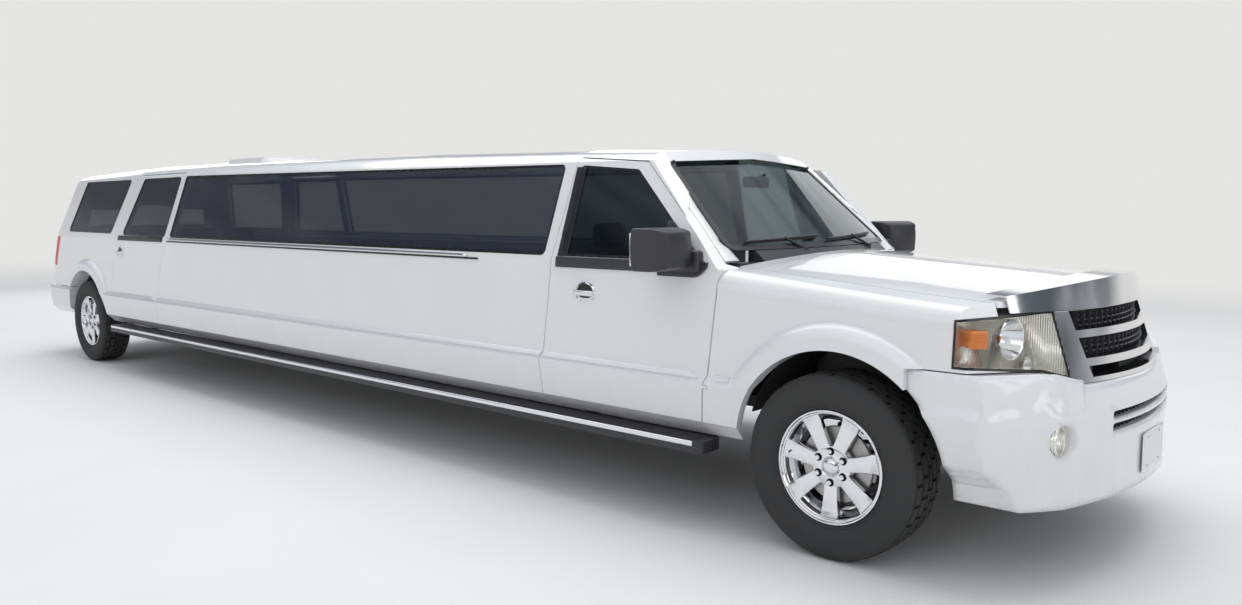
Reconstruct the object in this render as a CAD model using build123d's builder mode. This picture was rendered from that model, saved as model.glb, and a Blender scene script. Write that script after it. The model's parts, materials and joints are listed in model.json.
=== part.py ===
from build123d import *
import os
from math import atan, cos, radians, sin, sqrt

# A stretch limousine on a full-size truck frame.
# Millimetres. +X forward, +Y left, +Z up. The origin is on the ground, on the centreline,
# straight under the front axle.

# Driving sizes
wheelbase = 8300.0
track = 1700.0
tyre_radius = 402.0
tyre_width = 270.0
rim_lip_radius = 246.0
rim_width = 222.0
body_half_width = 1000.0
sill_height = 435.0
ridge_height = 690.0
belt_height = 1230.0
nose_centre_x = 963.0
nose_base_height = 797.0
bumper_front_x = 1000.0
tail_x = -9300.0
rear_bumper_x = -9420.0

# Clearances and walls
shut_gap = 6.0
seat_gap = 0.3
door_wall = 130.0
pillar_wall = 48.0
nose_wall = 45.0
lamp_depth = 120.0
grille_depth = 60.0
gate_wall = 110.0
glass_thickness = 7.0
glass_set_in = 6.0

rear_axle_x = -wheelbase
wheel_plane_y = track / 2
axle_height = tyre_radius
rim_half = rim_width / 2
wide_y = body_half_width + 60

# The side of the body, the same along its length, from the sill up to the belt: y, z
side_line = [
    (905.0, sill_height),
    (975.0, sill_height + 70),
    (body_half_width, ridge_height),
    (975.0, ridge_height + 40),
    (950.0, 1000.0),
    (932.0, belt_height),
]
# The inside of the wall below the belt: y, z
inner_line = [
    (body_half_width - door_wall, 300.0),
    (body_half_width - door_wall, 700.0),
    (815.0, belt_height - 12),
    (932.0 - pillar_wall, belt_height - 2),
]
# Cabin sections: x, belt half width, rail half width, rail height, crown height
cabin_sections = [
    (-250.0, 932.0, 752.0, 1722.0, 1765.0),
    (-1750.0, 932.0, 757.0, 1745.0, 1838.0),
    (-3200.0, 930.0, 766.0, 1762.0, 1880.0),
    (-6000.0, 926.0, 774.0, 1795.0, 1920.0),
    (-7400.0, 922.0, 772.0, 1800.0, 1930.0),
    (-9000.0, 908.0, 760.0, 1785.0, 1885.0),
    (-9600.0, 902.0, 752.0, 1770.0, 1845.0),
]
rail_round = 118.0
# Bonnet sections: x, side top half width, side top height, edge height, crown height
bonnet_sections = [
    (-700.0, 940.0, 1120.0, 1224.0, 1292.0),
    (300.0, 948.0, 1040.0, 1135.0, 1225.0),
    (1050.0, 948.0, 985.0, 1082.0, 1172.0),
]
bonnet_edge_y = 870.0

# Windscreen, tail and nose: where they cross the centreline and how far they lean per unit of height
screen_base_height = 1282.0
screen_centre_x = -520.0
screen_lean = 1.129
tail_bend_height = 1250.0
tail_lean = 0.531
nose_lean = 0.30

# Outlines in side view, as x and z on the skin
front_door_outline = [
    (-640.0, 420.0),
    (-640.0, ridge_height),
    (-612.0, 1000.0),
    (-596.0, belt_height - 4),
    (-1172.0, 1728.0),
    (-1662.0, 1764.0),
    (-1692.0, belt_height),
    (-1692.0, 420.0),
]
front_window_outline = [(-700.0, 1245.0), (-1212.0, 1692.0), (-1632.0, 1727.0), (-1642.0, 1245.0)]
long_window_outline = [(-1754.0, 1245.0), (-1743.0, 1734.0), (-6388.0, 1790.0), (-6476.0, 1258.0)]
rear_door_outline = [
    (-6610.0, 420.0),
    (-6610.0, 980.0),
    (-6524.0, 1240.0),
    (-6428.0, 1816.0),
    (-7325.0, 1816.0),
    (-7640.0, 1225.0),
    (-7655.0, 1100.0),
    (-7655.0, 420.0),
]
rear_window_outline = [(-6568.0, 1260.0), (-6472.0, 1785.0), (-7262.0, 1785.0), (-7520.0, 1265.0)]
quarter_window_outline = [(-7790.0, 1275.0), (-7540.0, 1785.0), (-8715.0, 1785.0), (-8950.0, 1280.0)]
window_radius = 34.0

# Outlines seen from the front, as y and z
screen_half = [(0.0, 1290.0), (785.0, 1290.0), (672.0, 1727.0), (0.0, 1758.0)]
screen_radius = 40.0
lamp_outline = [(-575.0, 826.0), (-700.0, 862.0), (-1010.0, 886.0), (-1010.0, 1062.0), (-620.0, 1086.0), (-575.0, 1084.0)]
grille_half = [(0.0, 803.0), (569.0, 803.0), (569.0, 1080.0), (500.0, 1104.0), (0.0, 1104.0)]
grille_mouth_half = [(0.0, 822.0), (452.0, 822.0), (492.0, 1082.0), (0.0, 1082.0)]
# Grille bars: height of the middle, height of the bar
grille_bars = [(880.0, 30.0), (990.0, 30.0)]
gate_half = [(0.0, 742.0), (775.0, 742.0), (775.0, 1240.0), (664.0, 2000.0), (0.0, 2000.0)]
gate_window_half = [(0.0, 1300.0), (700.0, 1300.0), (606.0, 1770.0), (0.0, 1800.0)]

# Where panels part
door_slant = 0.40
cut_start_y = body_half_width + 100
rail_split_y = 630.0
cut_depth = cut_start_y - rail_split_y
quarter_front_x = -7000.0
fender_split_y = 803.0
bonnet_rear_x = -455.0
bonnet_rear_sweep = 115.0
bonnet_foot = 1108.0
fender_top_x = 345.0
lamp_rear_x = 520.0
bumper_foot = 345.0
bumper_top = 862.0
bumper_wall = 95.0
gate_top_x = -8935.0
gate_inner_x = -9165.0
gate_foot = 742.0
rear_panel_foot = 726.0
rear_bumper_foot = 440.0
rear_bumper_top = 720.0
rear_bumper_wall = 90.0
cowl_foot = 1150.0
cowl_side_gap = 12.0

# Wheel arches
front_arch_x = 20.0
arch_height = 415.0
arch_radius = 490.0
arch_inner_y = 500.0
liner_radius = 500.0
liner_wall = 8.0

# Raised flares round the arches: radius where they start to fall, outer radius, outer and inner y
flare_full_radius = 535.0
flare_radius = 605.0
flare_y = body_half_width + 3.0
flare_edge_y = 935.0
flare_root_y = 900.0
# How far the flare's fall bulges, and the reach of the boxes that trim it
flare_bulge = 14.0
flare_trim = 700.0

# Tail lamps
tail_lamp_low = (-9400.0, -960.0, 930.0)
tail_lamp_high = (-9150.0, -787.0, 1228.0)
tail_lamp_depth = 55.0

# Fog lamps and lower air slots in the front bumper
fog_lamp_y = 720.0
fog_lamp_height = 607.0
fog_lamp_radius = 62.0
air_slot_heights = [622.0, 672.0]
air_slot_width = 850.0
air_slot_height = 36.0

# Number plate screw holes: half spacings, radius and depth
plate_hole_y = 89.0
plate_hole_rise = 60.5
plate_hole_radius = 3.25
plate_hole_depth = 30.0
front_plate_height = 473.0
rear_plate_height = 900.0

# Wheels
barrel_wall = 9.0
rim_drop_radius = 196.0
rim_seat_radius = rim_lip_radius - 17.0
spoke_count = 7
spoke_width = 74.0
spoke_thickness = 38.0
spoke_set_in = 50.0
hub_radius = 82.0
hub_set_in = 58.0
hub_thickness = 40.0
disc_radius = 165.0
disc_thickness = 20.0
disc_gap = 14.0
spindle_radius = 30.0
spindle_reach = 27.0

# Knuckles and front suspension
kingpin_y = 800.0
kingpin_half_height = 150.0
kingpin_radius = 12.0
arm_thickness = 32.0
arm_half_width = 34.0
arm_spread = 60.0
arm_gap = 6.0

# Frame
rail_y = 430.0
rail_width = 90.0
rail_foot = 490.0
rail_height = 130.0
rail_front_x = 800.0
rail_rear_x = -9230.0
beam_half_width = 560.0
cradle_thickness = 29.7
# Crossmembers: x of the middle, width, foot height, thickness
crossmembers = [
    (640.0, 80.0, 510.0, 90.0),
    (0.0, 200.0, rail_foot, cradle_thickness),
    (-1400.0, 80.0, 510.0, 90.0),
    (-2600.0, 80.0, 510.0, 90.0),
    (-3800.0, 80.0, 510.0, 90.0),
    (-5000.0, 80.0, 510.0, 90.0),
    (-6200.0, 80.0, 510.0, 90.0),
    (-7400.0, 80.0, 510.0, 90.0),
    (-9100.0, 80.0, 510.0, 90.0),
]
rail_top = rail_foot + rail_height
rail_outer_y = rail_y + rail_width / 2
rail_inner_y = rail_y - rail_width / 2

# Drive line
axle_tube_radius = 38.0
differential_radius = 150.0
differential_half_width = 100.0
spring_seat_radius = 55.0
shaft_radius = 45.0
shaft_height = 455.0
engine_low = (-430.0, -330.0, rail_foot + cradle_thickness + seat_gap)
engine_high = (420.0, 330.0, 1040.0)
gearbox_length = 820.0
gearbox_half_width = 180.0
gearbox_foot = 420.0
gearbox_top = 540.0
exhaust_radius = 38.0
exhaust_y = -260.0
exhaust_height = 440.0
exhaust_end_x = -7640.0
exhaust_end_y = -850.0
silencer_front_x = -5500.0
silencer_length = 560.0
tank_low = (-5400.0, 100.0, 350.0)
tank_high = (-4300.0, 380.0, 510.0 - seat_gap)

# Floor and firewall
floor_thickness = 22.0
floor_front_x = -530.0
floor_rear_x = -9175.0
door_sill_y = 850.0
# Door sills, where the floor is narrower: rear end x, front end x
sill_spans = [(-1760.0, -560.0), (-7730.0, -6480.0)]
firewall_thickness = 30.0
firewall_top = 1150.0
hood_hinge_y = 680.0
hood_hinge_width = 80.0

# Running boards
board_front_x = -610.0
board_rear_x = -7580.0
board_y = 960.0
board_width = 170.0
board_low = 368.0
board_top = 424.0
bracket_places = [-1500.0, -2900.0, -4300.0, -5700.0, -7100.0]
bracket_width = 60.0

# Low hatch on the roof: rear and front end, half width, foot and top height, slope of its sides
hatch_span = (-6590.0, -5830.0)
hatch_half_width = 350.0
hatch_foot = 1893.0
hatch_top = 1948.0
hatch_slope = 24.0
hatch_corner = 90.0

# Deflector along the front edge of the bonnet: gap to the bonnet, thickness, half width, depth in plan
deflector_rise = 14.0
deflector_thickness = 6.0
deflector_half_width = 775.0
deflector_reach = 135.0
# How far its rear edge falls back at its ends, and how far the ends are cut short
deflector_sweep = 225.0
deflector_end_cut = 60.0
# Feet of the deflector on the bonnet: x and y of the middle
deflector_feet = [(640.0, -640.0), (752.0, -260.0), (752.0, 260.0), (640.0, 640.0)]
deflector_foot_size = (30.0, 40.0)

# Gap in front of the front door, wider than the others because the door's edge swings in there
fender_gap = 8.5
# Front door hinges: a pin in the fender and a lug on the door
door_hinge_x = -620.0
door_hinge_y = 992.0
door_open_angle = 30.0
hinge_lug_low = 668.0
hinge_lug_high = 681.0
hinge_lug_radius = 7.0
hinge_pin_radius = 4.0
notch_gap = 2.5
# Rear door hinge blocks: foot height, top height
rear_hinge_blocks = [(600.0, 680.0), (1000.0, 1060.0)]
gate_hinge_y = 350.0

# Cabin
steering_wheel_centre = (-1060.0, 400.0, 1090.0)
column_lean = 24.0
column_length = 180.0
steering_wheel_radius = 185.0
dash_rear_x = -940.0
seat_width = 500.0
front_seat_y = 400.0

os.makedirs("parts", exist_ok=True)
pieces = {}


def keep(name, piece):
    """Label a finished piece and remember it for writing."""
    piece.part.label = name
    pieces[name] = piece


def mirrored(piece):
    """Make the left-hand piece from the right-hand one."""
    with BuildPart() as left:
        mirror(piece.part, about=Plane.XZ)
    return left


def pair(piece):
    """One node that holds the right-hand piece and its mirror image."""
    with BuildPart() as both:
        add(piece.part)
        mirror(piece.part, about=Plane.XZ)
    return both


def skin_y(z):
    """Half width of the outer skin at a height, for placing cuts."""
    line = side_line + [(766.0, 1770.0), (700.0, 1850.0)]
    for (y0, z0), (y1, z1) in zip(line, line[1:]):
        if z <= z1:
            return y0 + (y1 - y0) * (z - z0) / (z1 - z0)
    return line[-1][0]


def both_sides(points):
    """Close a half outline, given as y and z, into a symmetric one."""
    return points + [(-y, z) for y, z in reversed(points) if y]


def box_between(low, high):
    """A block between two corners."""
    size = [b - a for a, b in zip(low, high)]
    centre = [(a + b) / 2 for a, b in zip(low, high)]
    with BuildPart(Plane(origin=centre)) as block:
        Box(*size)
    return block


def cabin_face(row, inset, inner):
    """One closed cross-section of the cabin, from the floor up over the roof."""
    x, belt_y, rail_side_y, rail_z, crown_z = row
    if inner:
        low = [*inner_line[:3], (belt_y - pillar_wall, belt_height - 2)]
    else:
        low = [(y - inset, z) for y, z in side_line[:-1]]
        low.append((belt_y - inset, belt_height))
    rail = (rail_side_y - inset, rail_z - inset * 0.4)
    shoulder = (rail_side_y - inset - rail_round, rail_z - inset + 0.62 * (crown_z - rail_z))
    bulge = (rail[0] - rail_round * 0.36, rail[1] + 0.42 * (shoulder[1] - rail[1]) + 10)
    crown = (0.0, crown_z - inset)
    mid = (shoulder[0] * 0.52, shoulder[1] + (crown[1] - shoulder[1]) * 0.76)
    with BuildSketch(Plane.YZ.offset(x)) as face:
        with BuildLine():
            Polyline([(0, low[0][1]), *low, rail])
            ThreePointArc(rail, bulge, shoulder)
            ThreePointArc(shoulder, mid, crown)
            mirror(about=Plane.YZ)
        make_face()
    return face


def leaning_waste(x, height, lean, curve, reach):
    """Everything beyond a curved surface that leans by lean per unit of height.

    x is where the surface crosses the centreline at the given height. curve holds the flank,
    corner and side points of its plan as offsets in x and as y. reach is how far the waste goes.
    """
    slope = sqrt(1 + lean**2)
    flank, corner, side = [(dx / slope, y) for dx, y in curve]
    face_plane = Plane(origin=(x, 0, height), x_dir=(1, 0, lean), z_dir=(-lean, 0, 1))
    with BuildPart() as waste:
        with BuildSketch(face_plane):
            with BuildLine():
                ThreePointArc(side, corner, flank)
                ThreePointArc(flank, (0, 0), (flank[0], -flank[1]))
                ThreePointArc((flank[0], -flank[1]), (corner[0], -corner[1]), (side[0], -side[1]))
                Polyline((side[0], -side[1]), (reach, -side[1]), (reach, side[1]), side)
            make_face()
        extrude(amount=2600, both=True)
    return waste


def screen_waste(inset):
    """Everything ahead of the curved, leaning windscreen surface."""
    x = screen_centre_x - inset / sin(atan(1 / screen_lean))
    curve = [(-82.0, 680.0), (-120.0, 820.0), (-202.0, wide_y)]
    return leaning_waste(x, screen_base_height, screen_lean, curve, 2600.0)


def tail_waste(inset, lean):
    """Everything behind one stage of the tail, which is upright or leans forward."""
    curve = [(22.0, 760.0 - inset), (45.0, 870.0 - inset), (150.0, wide_y)]
    return leaning_waste(tail_x + inset, tail_bend_height, -lean, curve, -1500.0)


def nose_waste(inset):
    """Everything ahead of the leaning nose that carries grille and lamps."""
    curve = [(-243.0, 800.0), (-310.0, 890.0 - inset * 0.5), (-443.0, wide_y)]
    return leaning_waste(nose_centre_x - inset, nose_base_height, nose_lean, curve, 1500.0)


def cabin_hull(inset, inner=False):
    """The cabin as one closed solid, set in from the skin."""
    faces = [cabin_face(row, inset, inner) for row in cabin_sections]
    with BuildPart() as hull:
        loft([face.sketch for face in faces], ruled=True)
        add(screen_waste(inset).part, mode=Mode.SUBTRACT)
        for lean in (0.0, tail_lean):
            add(tail_waste(gate_wall if inner else inset, lean).part, mode=Mode.SUBTRACT)
    return hull


def bonnet_face(row, inset):
    """One closed cross-section of the front end."""
    x, side_y, side_z, edge_z, crown_z = row
    foot = sill_height if inset == 0 else 300.0
    low = [(y - inset, z) for y, z in side_line[:4]]
    low[0] = (low[0][0], foot)
    side_top = (side_y - inset, side_z - inset * 0.3)
    edge = (bonnet_edge_y - inset, edge_z - inset)
    shoulder = (side_top[0] - 16, side_top[1] + (edge[1] - side_top[1]) * 0.66)
    crown = (0.0, crown_z - inset)
    mid = (edge[0] * 0.55, edge[1] + (crown[1] - edge[1]) * 0.7)
    with BuildSketch(Plane.YZ.offset(x)) as face:
        with BuildLine():
            Polyline([(0, foot), *low, side_top])
            ThreePointArc(side_top, shoulder, edge)
            ThreePointArc(edge, mid, crown)
            mirror(about=Plane.YZ)
        make_face()
    return face


def front_hull(inset):
    """The front end as one closed solid, set in from the skin."""
    faces = [bonnet_face(row, inset) for row in bonnet_sections]
    with BuildPart() as hull:
        loft([face.sketch for face in faces], ruled=True)
        add(nose_waste(inset).part, mode=Mode.SUBTRACT)
    return hull


def door_cut(points, grow=0.0):
    """A door's opening, cut inwards and forwards so that the door swings clear."""
    slanted = [(x - door_slant * (cut_start_y - skin_y(z)), z) for x, z in points]
    with BuildPart() as cut:
        with BuildSketch(Plane.XZ.offset(cut_start_y)):
            with BuildLine():
                Polyline(slanted, close=True)
            make_face()
            if grow:
                offset(amount=grow, kind=Kind.INTERSECTION)
        extrude(amount=cut_depth * sqrt(1 + door_slant**2), dir=(door_slant, 1, 0))
    return cut


def window_cut(points, grow=0.0):
    """A side window's opening, cut straight in from the right-hand side."""
    with BuildPart() as cut:
        with BuildSketch(Plane.XZ.offset(cut_start_y)) as outline:
            with BuildLine():
                Polyline(points, close=True)
            make_face()
            fillet(outline.vertices(), radius=window_radius)
            if grow:
                offset(amount=grow)
        extrude(amount=-cut_depth)
    return cut


def crosswise_cut(points, x_from, x_to, grow=0.0, radius=0.0):
    """An opening seen from the front or the back, cut along X."""
    with BuildPart() as cut:
        with BuildSketch(Plane.YZ.offset(x_from)) as outline:
            with BuildLine():
                Polyline(points, close=True)
            make_face()
            if radius:
                fillet(outline.vertices(), radius=radius)
            if grow:
                offset(amount=grow)
        extrude(amount=x_to - x_from)
    return cut


def crosswise_drum(x, radius, y_outer, y_inner):
    """A round drum across the body round a wheel arch's centre, on the right-hand side."""
    with BuildPart() as drum:
        with BuildSketch(Plane.XZ.offset(y_outer)):
            with Locations((x, arch_height)):
                Circle(radius)
        extrude(amount=-(y_outer - y_inner))
    return drum


def arch_flare(x):
    """The raised band round a wheel arch's opening above the ridge, on the right-hand side."""
    arch_plane = Plane(origin=(x, 0, arch_height), x_dir=(1, 0, 0), z_dir=(0, -1, 0))
    with BuildPart() as flare:
        with BuildSketch(Plane(origin=arch_plane.origin, x_dir=(1, 0, 0), z_dir=(0, 0, 1))):
            with BuildLine():
                inner = (arch_radius, -flare_root_y)
                full = (flare_full_radius, -flare_y)
                outer = (flare_radius, -flare_edge_y)
                Polyline(outer, (flare_radius, -flare_root_y), inner, (arch_radius, -flare_y), full)
                middle = ((full[0] + outer[0]) / 2 + flare_bulge, (full[1] + outer[1]) / 2 - flare_bulge)
                ThreePointArc(full, middle, outer)
            make_face()
        revolve(axis=Axis(arch_plane.origin, (0, 1, 0)))
        above_ridge = box_between((x - flare_trim, -1100, ridge_height), (x + flare_trim, -800, 1200))
        add(above_ridge.part, mode=Mode.INTERSECT)
        inside = box_between((x - flare_trim, -flare_root_y, 300), (x + flare_trim, 0, 1200))
        add(inside.part, mode=Mode.SUBTRACT)
    return flare


def plate_holes(x, height, towards):
    """Four screw holes of a number plate, bored into a face that looks along X."""
    with BuildPart() as holes:
        with BuildSketch(Plane.YZ.offset(x)):
            with GridLocations(2 * plate_hole_y, 2 * plate_hole_rise, 2, 2):
                with Locations((0, height)):
                    Circle(plate_hole_radius)
        extrude(amount=towards * plate_hole_depth)
    return holes


# Shells of the cabin, the glass and the front end
cabin_outer = cabin_hull(0.0)
cabin_inner = cabin_hull(pillar_wall, inner=True)
with BuildPart() as cabin_shell:
    add(cabin_outer.part)
    add(cabin_inner.part, mode=Mode.SUBTRACT)
with BuildPart() as glass_layer:
    add(cabin_hull(glass_set_in).part)
    add(cabin_hull(glass_set_in + glass_thickness).part, mode=Mode.SUBTRACT)
front_outer = front_hull(0.0)
with BuildPart() as front_shell:
    add(front_outer.part)
    add(front_hull(nose_wall).part, mode=Mode.SUBTRACT)

# Openings shared by neighbouring panels
front_opening = door_cut(front_door_outline, grow=shut_gap)
rear_opening = door_cut(rear_door_outline, grow=shut_gap)
screen_opening = crosswise_cut(both_sides(screen_half), -1500.0, -200.0, radius=screen_radius)
front_arch = crosswise_drum(front_arch_x, arch_radius, cut_start_y, arch_inner_y)
rear_arch = crosswise_drum(rear_axle_x, arch_radius, cut_start_y, arch_inner_y)

# The space inside the doors, which they don't reach into
with BuildPart() as door_core:
    with BuildSketch(Plane.YZ.offset(-9000)):
        with BuildLine():
            core_half = [(0.0, 300.0), (812.0, 300.0), (812.0, 1218.0), (866.0, 1236.0), (706.0, 1770.0)]
            core_half += [(628.0, 1822.0), (0.0, 1822.0)]
            Polyline(both_sides(core_half), close=True)
        make_face()
    extrude(amount=8900)

# Front door with its hinge lug
with BuildPart() as hinge_lug:
    with BuildSketch(Plane.XY.offset(hinge_lug_low)):
        with Locations((door_hinge_x, -door_hinge_y)):
            Circle(hinge_lug_radius)
        with Locations((door_hinge_x - 18, -door_hinge_y)):
            Rectangle(36, 2 * hinge_lug_radius)
        with Locations((door_hinge_x, -door_hinge_y)):
            Circle(hinge_pin_radius + seat_gap, mode=Mode.SUBTRACT)
    extrude(amount=hinge_lug_high - hinge_lug_low)
    add(cabin_outer.part, mode=Mode.INTERSECT)
with BuildPart() as front_door:
    add(cabin_shell.part)
    add(door_cut(front_door_outline).part, mode=Mode.INTERSECT)
    add(door_core.part, mode=Mode.SUBTRACT)
    add(window_cut(front_window_outline).part, mode=Mode.SUBTRACT)
    add(hinge_lug.part)
with BuildPart() as front_door_glass:
    add(glass_layer.part)
    add(window_cut(front_window_outline, -seat_gap).part, mode=Mode.INTERSECT)

# Rear door
with BuildPart() as rear_door:
    add(cabin_shell.part)
    add(door_cut(rear_door_outline).part, mode=Mode.INTERSECT)
    add(door_core.part, mode=Mode.SUBTRACT)
    add(window_cut(rear_window_outline).part, mode=Mode.SUBTRACT)
with BuildPart() as rear_door_glass:
    add(glass_layer.part)
    add(window_cut(rear_window_outline, -seat_gap).part, mode=Mode.INTERSECT)

# Body side: windscreen pillar, roof rail, centre pillar and the long wall of the stretch
with BuildPart() as body_side:
    add(cabin_shell.part)
    add(
        box_between((quarter_front_x, -1100, 400), (-590, -rail_split_y - seat_gap, 2000)).part,
        mode=Mode.INTERSECT,
    )
    add(box_between((-1500, -1100, 300), (-400, -600, belt_height + shut_gap)).part, mode=Mode.SUBTRACT)
    add(front_opening.part, mode=Mode.SUBTRACT)
    add(rear_opening.part, mode=Mode.SUBTRACT)
    add(screen_opening.part, mode=Mode.SUBTRACT)
    add(window_cut(long_window_outline).part, mode=Mode.SUBTRACT)
    # Blocks at the hinges of the rear door, just off its front edge
    with BuildPart(mode=Mode.PRIVATE) as hinge_blocks:
        for foot, top in rear_hinge_blocks:
            add(box_between((-6640, -938, foot), (-6480, -885, top)).part)
        add(cabin_shell.part, mode=Mode.INTERSECT)
        add(door_cut(rear_door_outline, grow=seat_gap).part, mode=Mode.SUBTRACT)
        add(box_between((-7000, -1100, 300), (-6605, -600, 1100)).part, mode=Mode.SUBTRACT)
    add(hinge_blocks.part)


def gate_region(grow):
    """The part of the tail that the liftgate fills."""
    side_view = [
        (-9800.0, gate_foot),
        (-9800.0, 2100.0),
        (gate_top_x, 2100.0),
        (gate_top_x, 1790.0),
        (gate_inner_x, tail_bend_height),
        (gate_inner_x, gate_foot),
    ]
    with BuildPart() as region:
        with BuildSketch(Plane.XZ.offset(-1100)):
            with BuildLine():
                Polyline(side_view, close=True)
            make_face()
            if grow:
                offset(amount=grow, kind=Kind.INTERSECTION)
        extrude(amount=2200)
        add(crosswise_cut(both_sides(gate_half), -9900.0, -8700.0, grow=grow).part, mode=Mode.INTERSECT)
    return region


# Quarter panels behind the rear doors, with the tail lamps at their corners
with BuildPart() as quarter_panel:
    add(cabin_shell.part)
    add(
        box_between((-9900, -1100, 400), (quarter_front_x - seat_gap, -rail_split_y - seat_gap, 2000)).part,
        mode=Mode.INTERSECT,
    )
    add(rear_opening.part, mode=Mode.SUBTRACT)
    add(rear_arch.part, mode=Mode.SUBTRACT)
    add(gate_region(shut_gap).part, mode=Mode.SUBTRACT)
    add(box_between((-9900, -1100, 300), (rear_axle_x, -600, rear_panel_foot)).part, mode=Mode.SUBTRACT)
    add(box_between(tail_lamp_low, tail_lamp_high).part, mode=Mode.SUBTRACT)
    add(window_cut(quarter_window_outline).part, mode=Mode.SUBTRACT)
    with BuildPart(mode=Mode.PRIVATE) as rear_flare:
        add(arch_flare(rear_axle_x).part)
        add(cabin_inner.part, mode=Mode.SUBTRACT)
        add(box_between((-9900, -1100, 300), (rear_axle_x, -600, rear_panel_foot)).part, mode=Mode.SUBTRACT)
    add(rear_flare.part)
with BuildPart() as tail_lamp:
    add(cabin_outer.part)
    add(cabin_hull(tail_lamp_depth).part, mode=Mode.SUBTRACT)
    add(
        box_between([c + seat_gap for c in tail_lamp_low], [c - seat_gap for c in tail_lamp_high]).part,
        mode=Mode.INTERSECT,
    )

# Fixed side glass
with BuildPart() as side_glass:
    with BuildPart(mode=Mode.PRIVATE) as glass_openings:
        add(window_cut(long_window_outline, -seat_gap).part)
        add(window_cut(quarter_window_outline, -seat_gap).part)
    add(glass_layer.part)
    add(glass_openings.part, mode=Mode.INTERSECT)

# Roof with the seats of the liftgate's hinges
with BuildPart() as roof:
    add(cabin_shell.part)
    add(box_between((-9200, -rail_split_y, 1500), (-900, rail_split_y, 2100)).part, mode=Mode.INTERSECT)
    add(gate_region(shut_gap).part, mode=Mode.SUBTRACT)
    add(screen_opening.part, mode=Mode.SUBTRACT)
    with BuildPart(mode=Mode.PRIVATE) as gate_hinges:
        for y in (-gate_hinge_y, gate_hinge_y):
            add(box_between((gate_top_x + seat_gap, y - 45, 1845), (gate_top_x + 40, y + 45, 1870)).part)
        add(cabin_shell.part, mode=Mode.INTERSECT)
    add(gate_hinges.part)
    # A low hatch with sloping sides
    with BuildSketch(Plane.XY.offset(hatch_foot)):
        with Locations((sum(hatch_span) / 2, 0)):
            RectangleRounded(hatch_span[1] - hatch_span[0], 2 * hatch_half_width, hatch_corner)
    extrude(amount=hatch_top - hatch_foot, taper=hatch_slope)

# Windscreen
with BuildPart() as windscreen:
    add(glass_layer.part)
    add(
        crosswise_cut(both_sides(screen_half), -1500.0, -200.0, grow=-seat_gap, radius=screen_radius).part,
        mode=Mode.INTERSECT,
    )

# Liftgate
gate_window_reach = (-9900.0, -8900.0)
with BuildPart() as liftgate:
    add(cabin_shell.part)
    add(gate_region(0.0).part, mode=Mode.INTERSECT)
    add(crosswise_cut(both_sides(gate_window_half), *gate_window_reach, radius=screen_radius).part, mode=Mode.SUBTRACT)
    add(plate_holes(tail_x, rear_plate_height, 1).part, mode=Mode.SUBTRACT)
with BuildPart() as liftgate_glass:
    add(glass_layer.part)
    add(
        crosswise_cut(both_sides(gate_window_half), *gate_window_reach, grow=-seat_gap, radius=screen_radius).part,
        mode=Mode.INTERSECT,
    )

# Bonnet
with BuildPart() as bonnet:
    add(front_shell.part)
    with BuildSketch(Plane.XY.offset(bonnet_foot)):
        with BuildLine():
            half = fender_split_y - shut_gap / 2
            rear_corner_x = bonnet_rear_x - bonnet_rear_sweep
            rear_edge = ThreePointArc((rear_corner_x, -half), (bonnet_rear_x, 0), (rear_corner_x, half))
            Polyline(rear_edge @ 1, (1100, half), (1100, -half), rear_edge @ 0)
        make_face()
    extrude(amount=400, mode=Mode.INTERSECT)

# Deflector along the front edge of the bonnet, on small feet
with BuildPart() as hood_deflector:
    add(front_hull(-deflector_rise - deflector_thickness).part)
    add(front_hull(-deflector_rise).part, mode=Mode.SUBTRACT)
    with BuildSketch(Plane.XY.offset(bonnet_foot - 20)):
        with BuildLine():
            nose_x = nose_centre_x - nose_lean * (bonnet_foot - nose_base_height)
            end_x = nose_x - deflector_sweep - deflector_reach + deflector_end_cut
            rear_edge = ThreePointArc(
                (end_x, -deflector_half_width), (nose_x - deflector_reach, 0.0), (end_x, deflector_half_width)
            )
            Polyline(rear_edge @ 1, (1100, deflector_half_width), (1100, -deflector_half_width), rear_edge @ 0)
        make_face()
    extrude(amount=400, mode=Mode.INTERSECT)
    with BuildPart(mode=Mode.PRIVATE) as deflector_footing:
        for x, y in deflector_feet:
            half_x, half_y = deflector_foot_size[0] / 2, deflector_foot_size[1] / 2
            add(box_between((x - half_x, y - half_y, bonnet_foot), (x + half_x, y + half_y, 1300)).part)
        add(front_hull(-deflector_rise - 1).part, mode=Mode.INTERSECT)
        add(front_hull(-seat_gap).part, mode=Mode.SUBTRACT)
    add(deflector_footing.part)

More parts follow.
